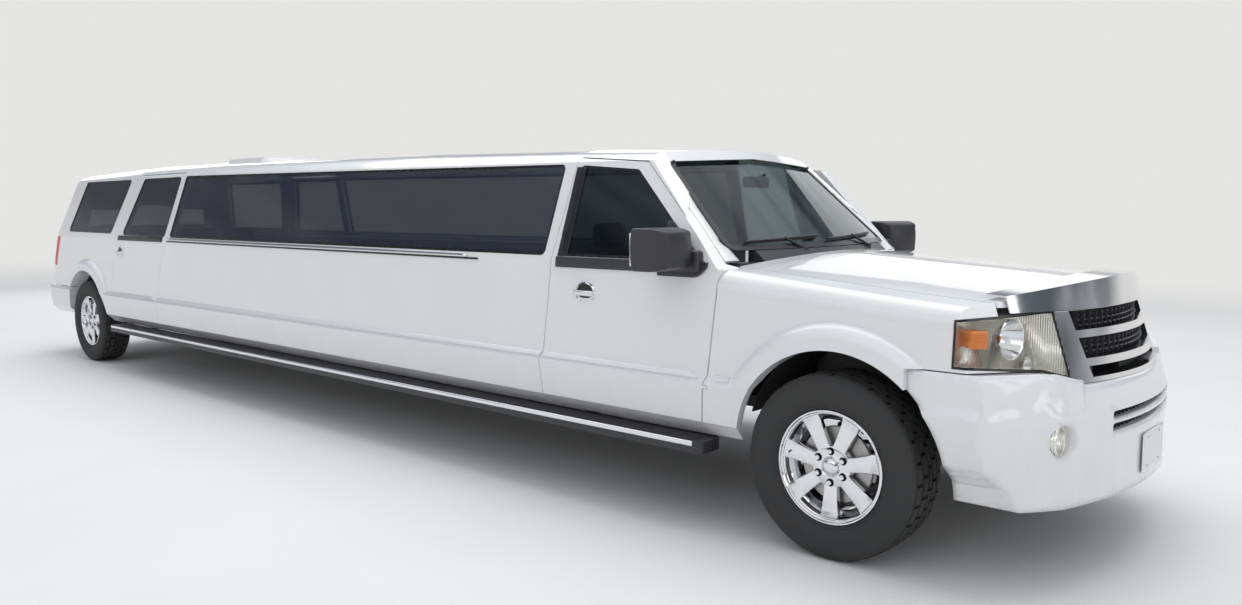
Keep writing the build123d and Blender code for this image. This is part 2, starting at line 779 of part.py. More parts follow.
# Front fender with the door's hinge pin
with BuildPart() as fender:
    add(front_shell.part)
    add(
        box_between((-660, -1100, 400), (700, -fender_split_y - shut_gap / 2, 1400)).part,
        mode=Mode.INTERSECT,
    )
    add(door_cut(front_door_outline, grow=fender_gap).part, mode=Mode.SUBTRACT)
    add(front_arch.part, mode=Mode.SUBTRACT)
    with BuildPart(mode=Mode.PRIVATE) as front_flare:
        add(arch_flare(front_arch_x).part)
        add(front_hull(nose_wall).part, mode=Mode.SUBTRACT)
    add(front_flare.part)
    add(box_between((fender_top_x, -1200, 300), (1200, -500, bumper_top + shut_gap)).part, mode=Mode.SUBTRACT)
    add(crosswise_cut(lamp_outline, lamp_rear_x - 2, 1100.0, grow=2.0).part, mode=Mode.SUBTRACT)
    notch_reach = hinge_lug_radius + notch_gap
    add(
        box_between(
            (door_hinge_x - 40, -1100, hinge_lug_low - notch_gap),
            (door_hinge_x + notch_reach, notch_reach * 2 - door_hinge_y, hinge_lug_high + notch_gap),
        ).part,
        mode=Mode.SUBTRACT,
    )
    with BuildSketch(Plane.XY.offset(hinge_lug_low - notch_gap - 5)):
        with Locations((door_hinge_x, -door_hinge_y)):
            Circle(hinge_pin_radius)
    extrude(amount=hinge_lug_high - hinge_lug_low + 2 * notch_gap + 10)

# Headlamp
with BuildPart() as headlamp:
    add(front_outer.part)
    add(front_hull(lamp_depth).part, mode=Mode.SUBTRACT)
    add(crosswise_cut(lamp_outline, lamp_rear_x, 1100.0).part, mode=Mode.INTERSECT)

# Grille: chrome surround, side posts and two bars across three openings
with BuildPart() as grille:
    add(front_outer.part)
    add(front_hull(grille_depth).part, mode=Mode.SUBTRACT)
    add(crosswise_cut(both_sides(grille_half), 500.0, 1200.0, grow=-seat_gap).part, mode=Mode.INTERSECT)
    with BuildSketch(Plane.YZ.offset(400)):
        with BuildLine():
            Polyline(both_sides(grille_mouth_half), close=True)
        make_face()
        for bar_z, bar_height in grille_bars:
            with Locations((0, bar_z)):
                Rectangle(1100, bar_height, mode=Mode.SUBTRACT)
    extrude(amount=800, mode=Mode.SUBTRACT)


def bumper_block(inset, foot, top):
    """The front bumper as one solid block behind its curved front."""
    x = bumper_front_x - inset
    turn, corner, side = (x - 130, 720.0 - inset * 0.4), (x - 250, 880.0 - inset), (x - 440, 1060.0 - inset)
    low = [(y - inset, z) for y, z in side_line[:4]]
    with BuildPart() as block:
        for z, height, lean in ((foot, ridge_height - foot, 0.0), (ridge_height, top - ridge_height, nose_lean)):
            with BuildSketch(Plane.XY.offset(z)):
                with BuildLine():
                    ThreePointArc(turn, (x, 0), (turn[0], -turn[1]))
                    ThreePointArc((turn[0], -turn[1]), (corner[0], -corner[1]), (side[0], -side[1]))
                    Polyline((side[0], -side[1]), (300, -side[1]), (300, side[1]), side)
                    ThreePointArc(side, corner, turn)
                make_face()
            extrude(amount=height * sqrt(1 + lean**2), dir=(-lean, 0, 1))
        with BuildSketch(Plane.YZ.offset(200)):
            with BuildLine():
                sides = [(0.0, foot), (870.0 - inset, foot), *low, (960.0 - inset, 950.0), (0.0, 950.0)]
                Polyline(both_sides(sides), close=True)
            make_face()
        extrude(amount=1000, mode=Mode.INTERSECT)
    return block


# Front bumper, made on the right and mirrored
with BuildPart() as front_bumper:
    with BuildPart(mode=Mode.PRIVATE) as right_cuts:
        add(front_arch.part)
        add(crosswise_cut(lamp_outline, 300.0, 1200.0, grow=4.0).part)
    add(bumper_block(0.0, bumper_foot, bumper_top).part)
    add(bumper_block(bumper_wall, 300.0, bumper_top - 20).part, mode=Mode.SUBTRACT)
    add(box_between((0, -1100, 200), (fender_top_x, 1100, 900)).part, mode=Mode.SUBTRACT)
    add(right_cuts.part, mode=Mode.SUBTRACT)
    mirror(right_cuts.part, about=Plane.XZ, mode=Mode.SUBTRACT)
    add(crosswise_cut(both_sides(grille_half), 300.0, 1200.0, grow=2.0).part, mode=Mode.SUBTRACT)
    with BuildSketch(Plane.YZ.offset(500)):
        with Locations((-fog_lamp_y, fog_lamp_height), (fog_lamp_y, fog_lamp_height)):
            Circle(fog_lamp_radius)
        with Locations([(0, z) for z in air_slot_heights]):
            RectangleRounded(air_slot_width, air_slot_height, 12)
    extrude(amount=700, mode=Mode.SUBTRACT)
    add(plate_holes(bumper_front_x, front_plate_height, -1).part, mode=Mode.SUBTRACT)
with BuildPart() as fog_lamps:
    with BuildSketch(Plane.YZ.offset(775)):
        with Locations((-fog_lamp_y, fog_lamp_height), (fog_lamp_y, fog_lamp_height)):
            Circle(fog_lamp_radius - seat_gap)
    extrude(amount=75)


def rear_bumper_block(inset, foot, top):
    """The rear bumper as one solid block inside its curved back."""
    x = rear_bumper_x + inset
    turn, corner, side = (x + 30, 780.0 - inset), (x + 80, 930.0 - inset), (x + 260, wide_y - inset)
    with BuildPart() as block:
        with BuildSketch(Plane.XY.offset(foot)):
            with BuildLine():
                ThreePointArc(turn, (x, 0), (turn[0], -turn[1]))
                ThreePointArc((turn[0], -turn[1]), (corner[0], -corner[1]), (side[0], -side[1]))
                Polyline((side[0], -side[1]), (rear_axle_x, -side[1]), (rear_axle_x, side[1]), side)
                ThreePointArc(side, corner, turn)
            make_face()
        extrude(amount=top - foot)
        with BuildSketch(Plane.YZ.offset(rear_axle_x - 1500)):
            with BuildLine():
                low = [(y - inset, z) for y, z in side_line[:4]]
                sides = [(0.0, foot - 5), (low[0][0], foot - 5), *low[1:], (low[3][0], 900.0), (0.0, 900.0)]
                Polyline(both_sides(sides), close=True)
            make_face()
        extrude(amount=1500, mode=Mode.INTERSECT)
    return block


# Rear bumper
with BuildPart() as rear_bumper:
    add(rear_bumper_block(0.0, rear_bumper_foot, rear_bumper_top).part)
    add(rear_bumper_block(rear_bumper_wall, 300.0, rear_bumper_top - 30).part, mode=Mode.SUBTRACT)
    add(rear_arch.part, mode=Mode.SUBTRACT)
    mirror(rear_arch.part, about=Plane.XZ, mode=Mode.SUBTRACT)
    # The top flange keeps clear of the body ahead of it.
    inner_y = body_half_width - rear_bumper_wall
    add(box_between((rear_axle_x - 900, -inner_y, 600), (rear_axle_x + 10, inner_y, 800)).part, mode=Mode.SUBTRACT)


def wheel_plane(x, sign):
    """The wheel's own plane: its normal points outwards from the vehicle."""
    return Plane(origin=(x, sign * wheel_plane_y, axle_height), x_dir=(1, 0, 0), z_dir=(0, sign, 0))


def meridian_of(plane):
    """A plane through the wheel's axle: first coordinate the radius, second the way outwards."""
    return Plane(origin=plane.origin, x_dir=plane.x_dir, z_dir=plane.z_dir.cross(plane.x_dir) * -1)


def make_tyre(plane):
    """A tyre: a closed ring whose flanks bulge and whose tread is slightly crowned."""
    half = tyre_width / 2
    bead = rim_seat_radius + seat_gap
    flank = [(bead, rim_half - 11.6), (rim_lip_radius + 0.6, rim_half - 7.4), (rim_lip_radius + 4, rim_half - 2)]
    bulge = (tyre_radius * 0.81, half)
    shoulder = [(tyre_radius - 18, half - 14), (tyre_radius - 5, half - 25), (tyre_radius - 2, half - 42)]
    with BuildPart() as tyre:
        with BuildSketch(meridian_of(plane)):
            with BuildLine():
                for side in (1, -1):
                    Polyline([(r, side * w) for r, w in flank])
                    ThreePointArc(*[(r, side * w) for r, w in (flank[-1], bulge, shoulder[0])])
                    ThreePointArc(*[(r, side * w) for r, w in shoulder])
                ThreePointArc(shoulder[-1], (tyre_radius, 0), (shoulder[-1][0], -shoulder[-1][1]))
                Line(flank[0], (flank[0][0], -flank[0][1]))
            make_face()
        revolve(axis=Axis(plane.origin, plane.z_dir))
    return tyre


def make_wheel(plane):
    """A rim with its well, seven broad spokes, a hub and the brake disc behind it."""
    inner_radius = rim_seat_radius - barrel_wall
    profile = [
        (rim_lip_radius, rim_half),
        (rim_lip_radius, rim_half - 7),
        (rim_seat_radius, rim_half - 11),
        (rim_seat_radius, 62.0),
        (rim_drop_radius + barrel_wall, 30.0),
        (rim_drop_radius + barrel_wall, -20.0),
        (rim_seat_radius, -52.0),
        (rim_seat_radius, -rim_half + 11),
        (rim_lip_radius, -rim_half + 7),
        (rim_lip_radius, -rim_half),
        (inner_radius, -rim_half),
        (inner_radius, -60.0),
        (rim_drop_radius, -24.0),
        (rim_drop_radius, 34.0),
        (inner_radius, 68.0),
        (inner_radius, rim_half),
    ]
    hub_back = rim_half - hub_set_in
    disc_back = hub_back - disc_gap - disc_thickness
    with BuildPart() as wheel:
        with BuildSketch(meridian_of(plane)):
            with BuildLine():
                Polyline(profile, close=True)
            make_face()
        revolve(axis=Axis(plane.origin, plane.z_dir))
        for back, thickness, radius in (
            (hub_back, hub_thickness, hub_radius),
            (disc_back, disc_thickness, disc_radius),
            (disc_back, hub_back - disc_back, hub_radius),
        ):
            with BuildSketch(plane.offset(back)):
                Circle(radius)
            extrude(amount=thickness)
        with BuildSketch(plane.offset(rim_half - spoke_set_in)):
            down = 90 if plane.z_dir.Y > 0 else -90
            with PolarLocations((hub_radius + rim_seat_radius) / 2 - 8, spoke_count, start_angle=down):
                Rectangle(rim_seat_radius - hub_radius + 18, spoke_width)
            Circle(rim_seat_radius - 1, mode=Mode.INTERSECT)
        extrude(amount=spoke_thickness)
        with BuildSketch(plane.offset(disc_back)):
            Circle(spindle_radius + seat_gap)
        extrude(amount=hub_back + spindle_reach - disc_back, mode=Mode.SUBTRACT)
    return wheel


# Wheels and tyres: x of the axle, side of the vehicle
wheel_places = {
    "front_left": (0.0, 1),
    "front_right": (0.0, -1),
    "rear_left": (rear_axle_x, 1),
    "rear_right": (rear_axle_x, -1),
}
for place, (x, sign) in wheel_places.items():
    plane = wheel_plane(x, sign)
    keep(f"tyre_{place}", make_tyre(plane))
    keep(f"wheel_{place}", make_wheel(plane))

# Knuckle: an upright between two kingpins, the spindle that carries the wheel, and the brake caliper
spindle_end_y = wheel_plane_y + rim_half - hub_set_in + spindle_reach - seat_gap
upright_foot = axle_height - kingpin_half_height + arm_thickness / 2 + arm_gap
upright_height = 2 * kingpin_half_height - arm_thickness - 2 * arm_gap
with BuildPart() as knuckle:
    with BuildSketch(Plane.XY.offset(upright_foot)):
        with Locations((0, -kingpin_y)):
            Rectangle(74, 56)
    extrude(amount=upright_height)
    with BuildSketch(Plane.XZ.offset(kingpin_y)):
        with Locations((0, axle_height)):
            Circle(spindle_radius)
    extrude(amount=spindle_end_y - kingpin_y)
    add(box_between((-165, -864, axle_height - 50), (0, -815, axle_height + 50)).part)
    for foot in (upright_foot - 1, upright_foot + upright_height - 27):
        with BuildSketch(Plane.XY.offset(foot)):
            with Locations((0, -kingpin_y)):
                Circle(kingpin_radius + seat_gap)
        extrude(amount=28, mode=Mode.SUBTRACT)

# Frame: two rails, crossmembers and the beams that carry the bumpers
with BuildPart() as frame:
    rail_middle = (rail_front_x + rail_rear_x) / 2
    with BuildSketch(Plane.XY.offset(rail_foot)):
        with Locations((rail_middle, rail_y), (rail_middle, -rail_y)):
            Rectangle(rail_front_x - rail_rear_x, rail_width)
    extrude(amount=rail_height)
    for x, width, foot, thickness in crossmembers:
        with BuildSketch(Plane.XY.offset(foot)):
            with Locations((x, 0)):
                Rectangle(width, 2 * rail_inner_y + 2)
        extrude(amount=thickness)
    with BuildPart(mode=Mode.PRIVATE) as front_beam:
        add(bumper_block(bumper_wall + seat_gap, 300.0, bumper_top - 22).part)
        add(
            box_between((rail_front_x - 1, -beam_half_width, rail_foot), (1100, beam_half_width, rail_top)).part,
            mode=Mode.INTERSECT,
        )
    add(front_beam.part)
    with BuildPart(mode=Mode.PRIVATE) as rear_beam:
        add(rear_bumper_block(rear_bumper_wall + seat_gap, 300.0, rear_bumper_top - 32).part)
        add(
            box_between(
                (rail_rear_x - 400, -beam_half_width, rail_foot), (rail_rear_x + 1, beam_half_width, rail_top)
            ).part,
            mode=Mode.INTERSECT,
        )
    add(rear_beam.part)

# Front suspension arms, fixed at ride height: height of the arm, y of its inner end
arm_rows = [
    (axle_height - kingpin_half_height, 300.0),
    (axle_height + kingpin_half_height, rail_outer_y),
]
with BuildPart() as front_arms:
    for sign in (-1, 1):
        for height, inner_end_y in arm_rows:
            outline = [
                (-arm_half_width, sign * (kingpin_y + 26)),
                (arm_half_width, sign * (kingpin_y + 26)),
                (arm_half_width + arm_spread, sign * inner_end_y),
                (-arm_half_width - arm_spread, sign * inner_end_y),
            ]
            with BuildSketch(Plane.XY.offset(height - arm_thickness / 2)):
                with BuildLine():
                    Polyline(outline, close=True)
                make_face()
            extrude(amount=arm_thickness)
            towards = 1 if height < axle_height else -1
            with BuildSketch(Plane.XY.offset(height)):
                with Locations((0, sign * kingpin_y)):
                    Circle(kingpin_radius)
            extrude(amount=towards * (arm_thickness / 2 + arm_gap + 24))
        add(box_between((-40, min(250 * sign, 300 * sign), 260), (40, max(250 * sign, 300 * sign), rail_foot)).part)
    low_arm = axle_height - kingpin_half_height - arm_thickness / 2
    reach = arm_half_width + arm_spread
    add(box_between((-reach, -300, low_arm), (reach, 300, low_arm + arm_thickness)).part)

# Rear axle: tube, spindles, differential, brake plates and spring seats
with BuildPart() as rear_axle:
    # Stages: half length, radius
    for half_length, radius in (
        (860.0, axle_tube_radius),
        (spindle_end_y, spindle_radius),
        (differential_half_width, differential_radius),
    ):
        with BuildSketch(Plane.XZ.offset(-half_length)):
            with Locations((rear_axle_x, axle_height)):
                Circle(radius)
        extrude(amount=2 * half_length)
    for sign in (-1, 1):
        with BuildSketch(Plane.XZ.offset(sign * 860)):
            with Locations((rear_axle_x, axle_height)):
                Circle(120)
        extrude(amount=-sign * 25)
        with BuildSketch(Plane.XY.offset(axle_height)):
            with Locations((rear_axle_x, sign * rail_y)):
                Circle(spring_seat_radius)
        extrude(amount=rail_foot - axle_height)

# Engine, gearbox and drive shaft
engine = box_between(engine_low, engine_high)
gearbox_front_x = engine_low[0] - seat_gap
with BuildPart() as driveline:
    add(
        box_between(
            (gearbox_front_x - gearbox_length, -gearbox_half_width, gearbox_foot),
            (gearbox_front_x, gearbox_half_width, gearbox_top),
        ).part
    )
    shaft_rear_x = rear_axle_x + differential_radius
    with BuildSketch(Plane.YZ.offset(shaft_rear_x)):
        with Locations((0, shaft_height)):
            Circle(shaft_radius)
    extrude(amount=gearbox_front_x - gearbox_length + 10 - shaft_rear_x)
    with BuildPart(mode=Mode.PRIVATE) as housing:
        with BuildSketch(Plane.XZ.offset(-differential_half_width)):
            with Locations((rear_axle_x, axle_height)):
                Circle(differential_radius + seat_gap)
        extrude(amount=2 * differential_half_width)
    add(housing.part, mode=Mode.SUBTRACT)

# Exhaust: one pipe from the engine to the right-hand side ahead of the rear wheel, and a silencer
with BuildPart() as exhaust:
    with BuildLine() as pipe_route:
        FilletPolyline(
            (engine_low[0] - seat_gap, exhaust_y, 570.0),
            (-700.0, exhaust_y, 570.0),
            (-1000.0, exhaust_y, exhaust_height),
            (exhaust_end_x, exhaust_y, exhaust_height),
            (exhaust_end_x, exhaust_end_y, exhaust_height),
            radius=110,
        )
    with BuildSketch(Plane.YZ.offset(engine_low[0] - seat_gap)):
        with Locations((exhaust_y, 570.0)):
            Circle(exhaust_radius)
    sweep(path=pipe_route.line)
    with BuildSketch(Plane.YZ.offset(silencer_front_x - silencer_length)):
        with Locations((exhaust_y, exhaust_height - 15)):
            Ellipse(110, 68)
    extrude(amount=silencer_length)
fuel_tank = box_between(tank_low, tank_high)

# Floor
floor_edge_y = body_half_width - door_wall - seat_gap
with BuildPart() as floor:
    with BuildSketch(Plane.XY.offset(rail_top)):
        with Locations(((floor_front_x + floor_rear_x) / 2, 0)):
            Rectangle(floor_front_x - floor_rear_x, 2 * floor_edge_y)
        for rear_x, front_x in sill_spans:
            for sign in (-1, 1):
                with Locations(((rear_x + front_x) / 2, sign * (door_sill_y + 50))):
                    Rectangle(front_x - rear_x, 100, mode=Mode.SUBTRACT)
    extrude(amount=floor_thickness)
    with BuildPart(mode=Mode.PRIVATE) as wells:
        well_radius = liner_radius + liner_wall + seat_gap
        add(crosswise_drum(rear_axle_x, well_radius, cut_start_y, 640.0 - seat_gap).part)
        mirror(about=Plane.XZ)
    add(wells.part, mode=Mode.SUBTRACT)

# Inner wheel arches
with BuildPart() as rear_liner:
    add(crosswise_drum(rear_axle_x, liner_radius + liner_wall, 900.0, 640.0).part)
    add(crosswise_drum(rear_axle_x, liner_radius, 900.0, 640.0 + liner_wall).part, mode=Mode.SUBTRACT)
    add(box_between((-9500, -1100, rail_top), (-7500, -600, 1100)).part, mode=Mode.INTERSECT)
    add(cabin_inner.part, mode=Mode.INTERSECT)
with BuildPart() as front_liner:
    add(crosswise_drum(front_arch_x, liner_radius + liner_wall, 845.0, rail_outer_y + seat_gap).part)
    add(crosswise_drum(front_arch_x, liner_radius, 845.0, rail_outer_y).part, mode=Mode.SUBTRACT)
    add(box_between((-600, -1100, 560), (700, -400, 1100)).part, mode=Mode.INTERSECT)
with BuildPart() as wheel_liners:
    for liner in (rear_liner, front_liner):
        add(liner.part)
        mirror(liner.part, about=Plane.XZ)

# Firewall with the seats of the bonnet's hinges
with BuildPart() as firewall:
    add(front_hull(nose_wall + seat_gap).part)
    firewall_front_x = floor_front_x + firewall_thickness
    with BuildPart(mode=Mode.PRIVATE) as firewall_region:
        add(box_between((floor_front_x, -1100, rail_top), (firewall_front_x, 1100, firewall_top)).part)
        for y in (-hood_hinge_y, hood_hinge_y):
            add(
                box_between(
                    (floor_front_x + 2, y - hood_hinge_width / 2, firewall_top - 1),
                    (firewall_front_x, y + hood_hinge_width / 2, 1400),
                ).part
            )
    add(firewall_region.part, mode=Mode.INTERSECT)

# Cowl between bonnet and windscreen: a plate, and a sill under the glass
def cowl_block(top):
    """The space between the bonnet's rear edge and the dashboard, up to a height."""
    edge_x = bonnet_rear_x - shut_gap
    corner_x = edge_x - bonnet_rear_sweep
    half = fender_split_y - cowl_side_gap
    with BuildPart() as block:
        with BuildSketch(Plane.XY.offset(cowl_foot)):
            with BuildLine():
                front_edge = ThreePointArc((corner_x, -half), (edge_x, 0), (corner_x, half))
                Polyline(front_edge @ 1, (-640, half), (-640, -half), front_edge @ 0)
            make_face()
        extrude(amount=top - cowl_foot)
    return block


with BuildPart() as cowl:
    with BuildPart(mode=Mode.PRIVATE) as screen_sill:
        sill_top = screen_half[0][1] - seat_gap
        sill_y = rail_split_y - seat_gap
        add(cowl_block(sill_top).part)
        add(box_between((-700, -sill_y, cowl_foot), (-400, sill_y, sill_top)).part, mode=Mode.INTERSECT)
        add(cabin_outer.part, mode=Mode.INTERSECT)
    add(cowl_block(belt_height + shut_gap - seat_gap).part)
    add(screen_sill.part)

# Radiator panel that carries grille and headlamps, on two posts that stand on the frame
nose_panel_foot = bumper_top + 5
nose_panel_top = 1080.0
nose_panel_depth = 160.0
post_half_y = 30.0
with BuildPart() as nose_panel:
    add(front_hull(lamp_depth + seat_gap).part)
    add(box_between((560, -850, nose_panel_foot), (1100, 850, nose_panel_top)).part, mode=Mode.INTERSECT)
    with BuildPart(mode=Mode.PRIVATE) as radiator:
        add(front_hull(grille_depth + seat_gap).part)
        add(box_between((600, -565, nose_panel_foot), (1100, 565, nose_panel_top)).part, mode=Mode.INTERSECT)
    add(radiator.part)
    add(front_hull(nose_panel_depth).part, mode=Mode.SUBTRACT)
    with BuildPart(mode=Mode.PRIVATE) as posts:
        for y in (-rail_y, rail_y):
            add(box_between((640, y - post_half_y, rail_top), (740, y + post_half_y, nose_panel_top)).part)
        add(front_hull(grille_depth + seat_gap).part, mode=Mode.INTERSECT)
    add(posts.part)

# Running boards on brackets that reach under the frame
with BuildPart() as running_boards:
    board_middle = (board_front_x + board_rear_x) / 2
    with BuildSketch(Plane.XY.offset(board_low)):
        with Locations((board_middle, board_y), (board_middle, -board_y)):
            RectangleRounded(board_front_x - board_rear_x, board_width, 40)
    extrude(amount=board_top - board_low)
    bracket = [(895.0, 395.0), (895.0, 415.0), (840.0, 415.0), (540.0, 489.7), (390.0, 489.7), (390.0, 472.0)]
    bracket += [(535.0, 472.0), (835.0, 395.0)]
    for x in bracket_places:
        for sign in (-1, 1):
            with BuildSketch(Plane.YZ.offset(x - bracket_width / 2)):
                with BuildLine():
                    Polyline([(sign * y, z) for y, z in bracket], close=True)
                make_face()
            extrude(amount=bracket_width)

# Door mirror
mirror_foot = 1205.0
mirror_height = 185.0
with BuildPart() as door_mirror:
    with BuildSketch(Plane.XY.offset(mirror_foot)):
        with BuildLine():
            housing_plan = [(-925, -985), (-905, -1150), (-760, -1165), (-700, -1150), (-735, -985), (-860, -965)]
            Polyline(housing_plan, close=True)
        make_face()
    extrude(amount=mirror_height)
    fillet(door_mirror.edges(), radius=14)
    with BuildSketch(Plane.XY.offset(mirror_foot + 10)):
        with BuildLine():
            Polyline([(-850, -1010), (-760, -1010), (-720, -900), (-810, -900)], close=True)
        make_face()
    extrude(amount=60)
    add(cabin_outer.part, mode=Mode.SUBTRACT)

# Dashboard
with BuildPart() as dashboard:
    with BuildSketch(Plane.XZ.offset(-780)):
        with BuildLine():
            dash_side = [(-640, 700), (-640, 1180), (-760, 1190), (-930, 1110), (dash_rear_x, 900), (-800, 760)]
            Polyline(dash_side, close=True)
        make_face()
    extrude(amount=1560)

# Steering wheel and column
with BuildPart() as steering_wheel:
    lean = radians(column_lean)
    rim_plane = Plane(origin=steering_wheel_centre, x_dir=(0, 1, 0), z_dir=(-cos(lean), 0, sin(lean)))
    with BuildSketch(meridian_of(rim_plane)):
        with Locations((steering_wheel_radius, 0)):
            Circle(15)
    revolve(axis=Axis(rim_plane.origin, rim_plane.z_dir))
    with BuildSketch(rim_plane.offset(-12)):
        Rectangle(2 * steering_wheel_radius - 20, 50)
        Circle(75)
    extrude(amount=24)
    with BuildSketch(rim_plane.offset(-12)):
        Circle(22)
    extrude(amount=-column_length)
    add(dashboard.part, mode=Mode.SUBTRACT)


def seat_block(x, y, width, low, back_top, depth):
    """A cushion and its backrest for a sitter who looks forward."""
    side_view = [
        (x, low),
        (x + depth, low),
        (x + depth, low + 240),
        (x + 130, low + 210),
        (x + 20, back_top),
        (x - 90, back_top),
    ]
    with BuildPart() as seat:
        with BuildSketch(Plane.XZ.offset(-(y + width / 2))):
            with BuildLine():
                Polyline(side_view, close=True)
            make_face()
        extrude(amount=width)
    return seat


# Seats and the partition behind the driver
floor_top = rail_top + floor_thickness
with BuildPart() as front_seats:
    for y in (-front_seat_y, front_seat_y):
        add(seat_block(-1720, y, seat_width, floor_top + 20, 1420, 540).part)
        add(box_between((-1700, y - 200, floor_top), (-1250, y + 200, floor_top + 20)).part)
with BuildPart() as long_seat:
    add(box_between((-6300, 330, floor_top), (-2300, 800, floor_top + 330)).part)
    add(box_between((-6300, 690, floor_top + 330), (-2300, 800, 1180)).part)
rear_seat = seat_block(-7900, 0, 1250, floor_top, 1330, 560)
divider = box_between((-2010, -812, floor_top), (-1960, 812, 1200))

# Pieces that come as a right-hand and a left-hand node
handed = {
    "front_door": front_door,
    "front_door_glass": front_door_glass,
    "door_mirror": door_mirror,
    "rear_door": rear_door,
    "rear_door_glass": rear_door_glass,
    "body_side": body_side,
    "quarter_panel": quarter_panel,
    "fender": fender,
    "knuckle": knuckle,
}
for name, piece in handed.items():
    keep(f"{name}_right", piece)
    keep(f"{name}_left", mirrored(piece))

# The left front door stands open.
for name in ("front_door_left", "front_door_glass_left", "door_mirror_left"):
    with BuildPart() as opened:
        hinge = Axis((door_hinge_x, door_hinge_y, 0), (0, 0, 1))
        add(pieces[name].part.rotate(hinge, -door_open_angle))
    keep(name, opened)

# Pieces that come once
single = {
    "roof": roof,
    "windscreen": windscreen,
    "side_glass": pair(side_glass),
    "tail_lamps": pair(tail_lamp),
    "headlamps": pair(headlamp),
    "liftgate": liftgate,
    "liftgate_glass": liftgate_glass,
    "bonnet": bonnet,
    "hood_deflector": hood_deflector,
    "grille": grille,
    "front_bumper": front_bumper,
    "rear_bumper": rear_bumper,
    "fog_lamps": fog_lamps,
    "frame": frame,
    "front_arms": front_arms,
    "rear_axle": rear_axle,
    "engine": engine,
    "driveline": driveline,
    "exhaust": exhaust,
    "fuel_tank": fuel_tank,
    "floor": floor,
    "wheel_liners": wheel_liners,
    "firewall": firewall,
    "cowl": cowl,
    "nose_panel": nose_panel,
    "running_boards": running_boards,
    "dashboard": dashboard,
    "steering_wheel": steering_wheel,
    "front_seats": front_seats,
    "long_seat": long_seat,
    "rear_seat": rear_seat,
    "divider": divider,
}
for name, piece in single.items():
    keep(name, piece)

for name, piece in pieces.items():
    export_step(piece.part, f"parts/{name}.step")
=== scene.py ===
"""Dresses the packed limousine: paint, glass, chrome, tyres, wheels, lamps, trim and seats."""

import json
import math

import bmesh
import bpy
from mathutils import Matrix, Vector
from mathutils.bvhtree import BVHTree


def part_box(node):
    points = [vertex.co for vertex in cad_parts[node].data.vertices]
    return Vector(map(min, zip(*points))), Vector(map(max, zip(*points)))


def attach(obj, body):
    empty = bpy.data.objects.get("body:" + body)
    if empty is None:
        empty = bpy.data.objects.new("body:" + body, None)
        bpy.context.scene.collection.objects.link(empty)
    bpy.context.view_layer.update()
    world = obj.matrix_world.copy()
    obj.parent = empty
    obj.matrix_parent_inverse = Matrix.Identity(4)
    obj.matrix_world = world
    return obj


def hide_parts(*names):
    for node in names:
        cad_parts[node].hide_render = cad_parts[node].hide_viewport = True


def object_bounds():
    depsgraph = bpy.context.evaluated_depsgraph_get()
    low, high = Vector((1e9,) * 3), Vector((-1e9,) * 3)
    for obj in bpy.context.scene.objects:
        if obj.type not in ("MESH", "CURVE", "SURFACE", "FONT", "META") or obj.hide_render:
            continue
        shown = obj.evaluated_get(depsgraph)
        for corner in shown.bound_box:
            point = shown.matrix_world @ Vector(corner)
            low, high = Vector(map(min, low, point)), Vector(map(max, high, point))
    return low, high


bl_info = {
    "name": "Limousine dressing",
    "version": (1, 0, 0),
    "blender": (4, 5, 0),
    "location": "3D View > Sidebar > Limousine",
    "description": "Gives the packed limousine its finishes, trim, tyres, lamps and seats",
    "category": "Object",
}

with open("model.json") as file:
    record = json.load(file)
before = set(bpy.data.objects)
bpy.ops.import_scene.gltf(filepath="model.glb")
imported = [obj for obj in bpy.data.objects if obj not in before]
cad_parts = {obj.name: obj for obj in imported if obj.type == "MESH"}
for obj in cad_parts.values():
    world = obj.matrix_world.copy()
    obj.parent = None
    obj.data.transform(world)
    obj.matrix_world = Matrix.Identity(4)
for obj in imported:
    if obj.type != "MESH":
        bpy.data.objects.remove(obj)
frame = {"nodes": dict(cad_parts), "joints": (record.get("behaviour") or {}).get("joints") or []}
cad_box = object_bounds()

# Points of reference, read from the frame
tyre_low, tyre_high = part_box("tyre_front_right")
hub_height = (tyre_low.z + tyre_high.z) / 2
tyre_radius = (tyre_high.z - tyre_low.z) / 2
tyre_half = (tyre_high.y - tyre_low.y) / 2
hub_side = -(tyre_low.y + tyre_high.y) / 2
rear_axle_x = (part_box("tyre_rear_right")[0].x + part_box("tyre_rear_right")[1].x) / 2
rim_low, rim_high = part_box("wheel_front_right")
rim_half = (rim_high.y - rim_low.y) / 2
lip_radius = (rim_high.z - rim_low.z) / 2
open_door = next(joint for joint in frame["joints"] if joint["name"] == "front_door_left_swing")

# Radius of a fog lamp's opening
FOG_RADIUS = 0.0617
# Points nearer than this are one
DOUBLE = 1e-5
# Coordinates clear of the vehicle, where the search for a skin starts
AHEAD, BEHIND, ABOVE, BESIDE = 2.0, -12.0, 2.0, -2.0
NOISE = "ShaderNodeTexNoise"
CELLS = "ShaderNodeTexVoronoi"
WAVES = "ShaderNodeTexWave"
RIGHT = -1
LEFT = 1
SIDES = (("right", RIGHT), ("left", LEFT))
BACKDROP = (0.78, 0.78, 0.77)
WHEELS = {
    "front_right": (0.0, RIGHT),
    "front_left": (0.0, LEFT),
    "rear_right": (rear_axle_x, RIGHT),
    "rear_left": (rear_axle_x, LEFT),
}


def length(name, description, default):
    """A length property with its default."""
    return bpy.props.FloatProperty(name=name, description=description, default=default, unit="LENGTH")


def count(name, description, default, least):
    """A property that counts, with its default and its least value."""
    return bpy.props.IntProperty(name=name, description=description, default=default, min=least)


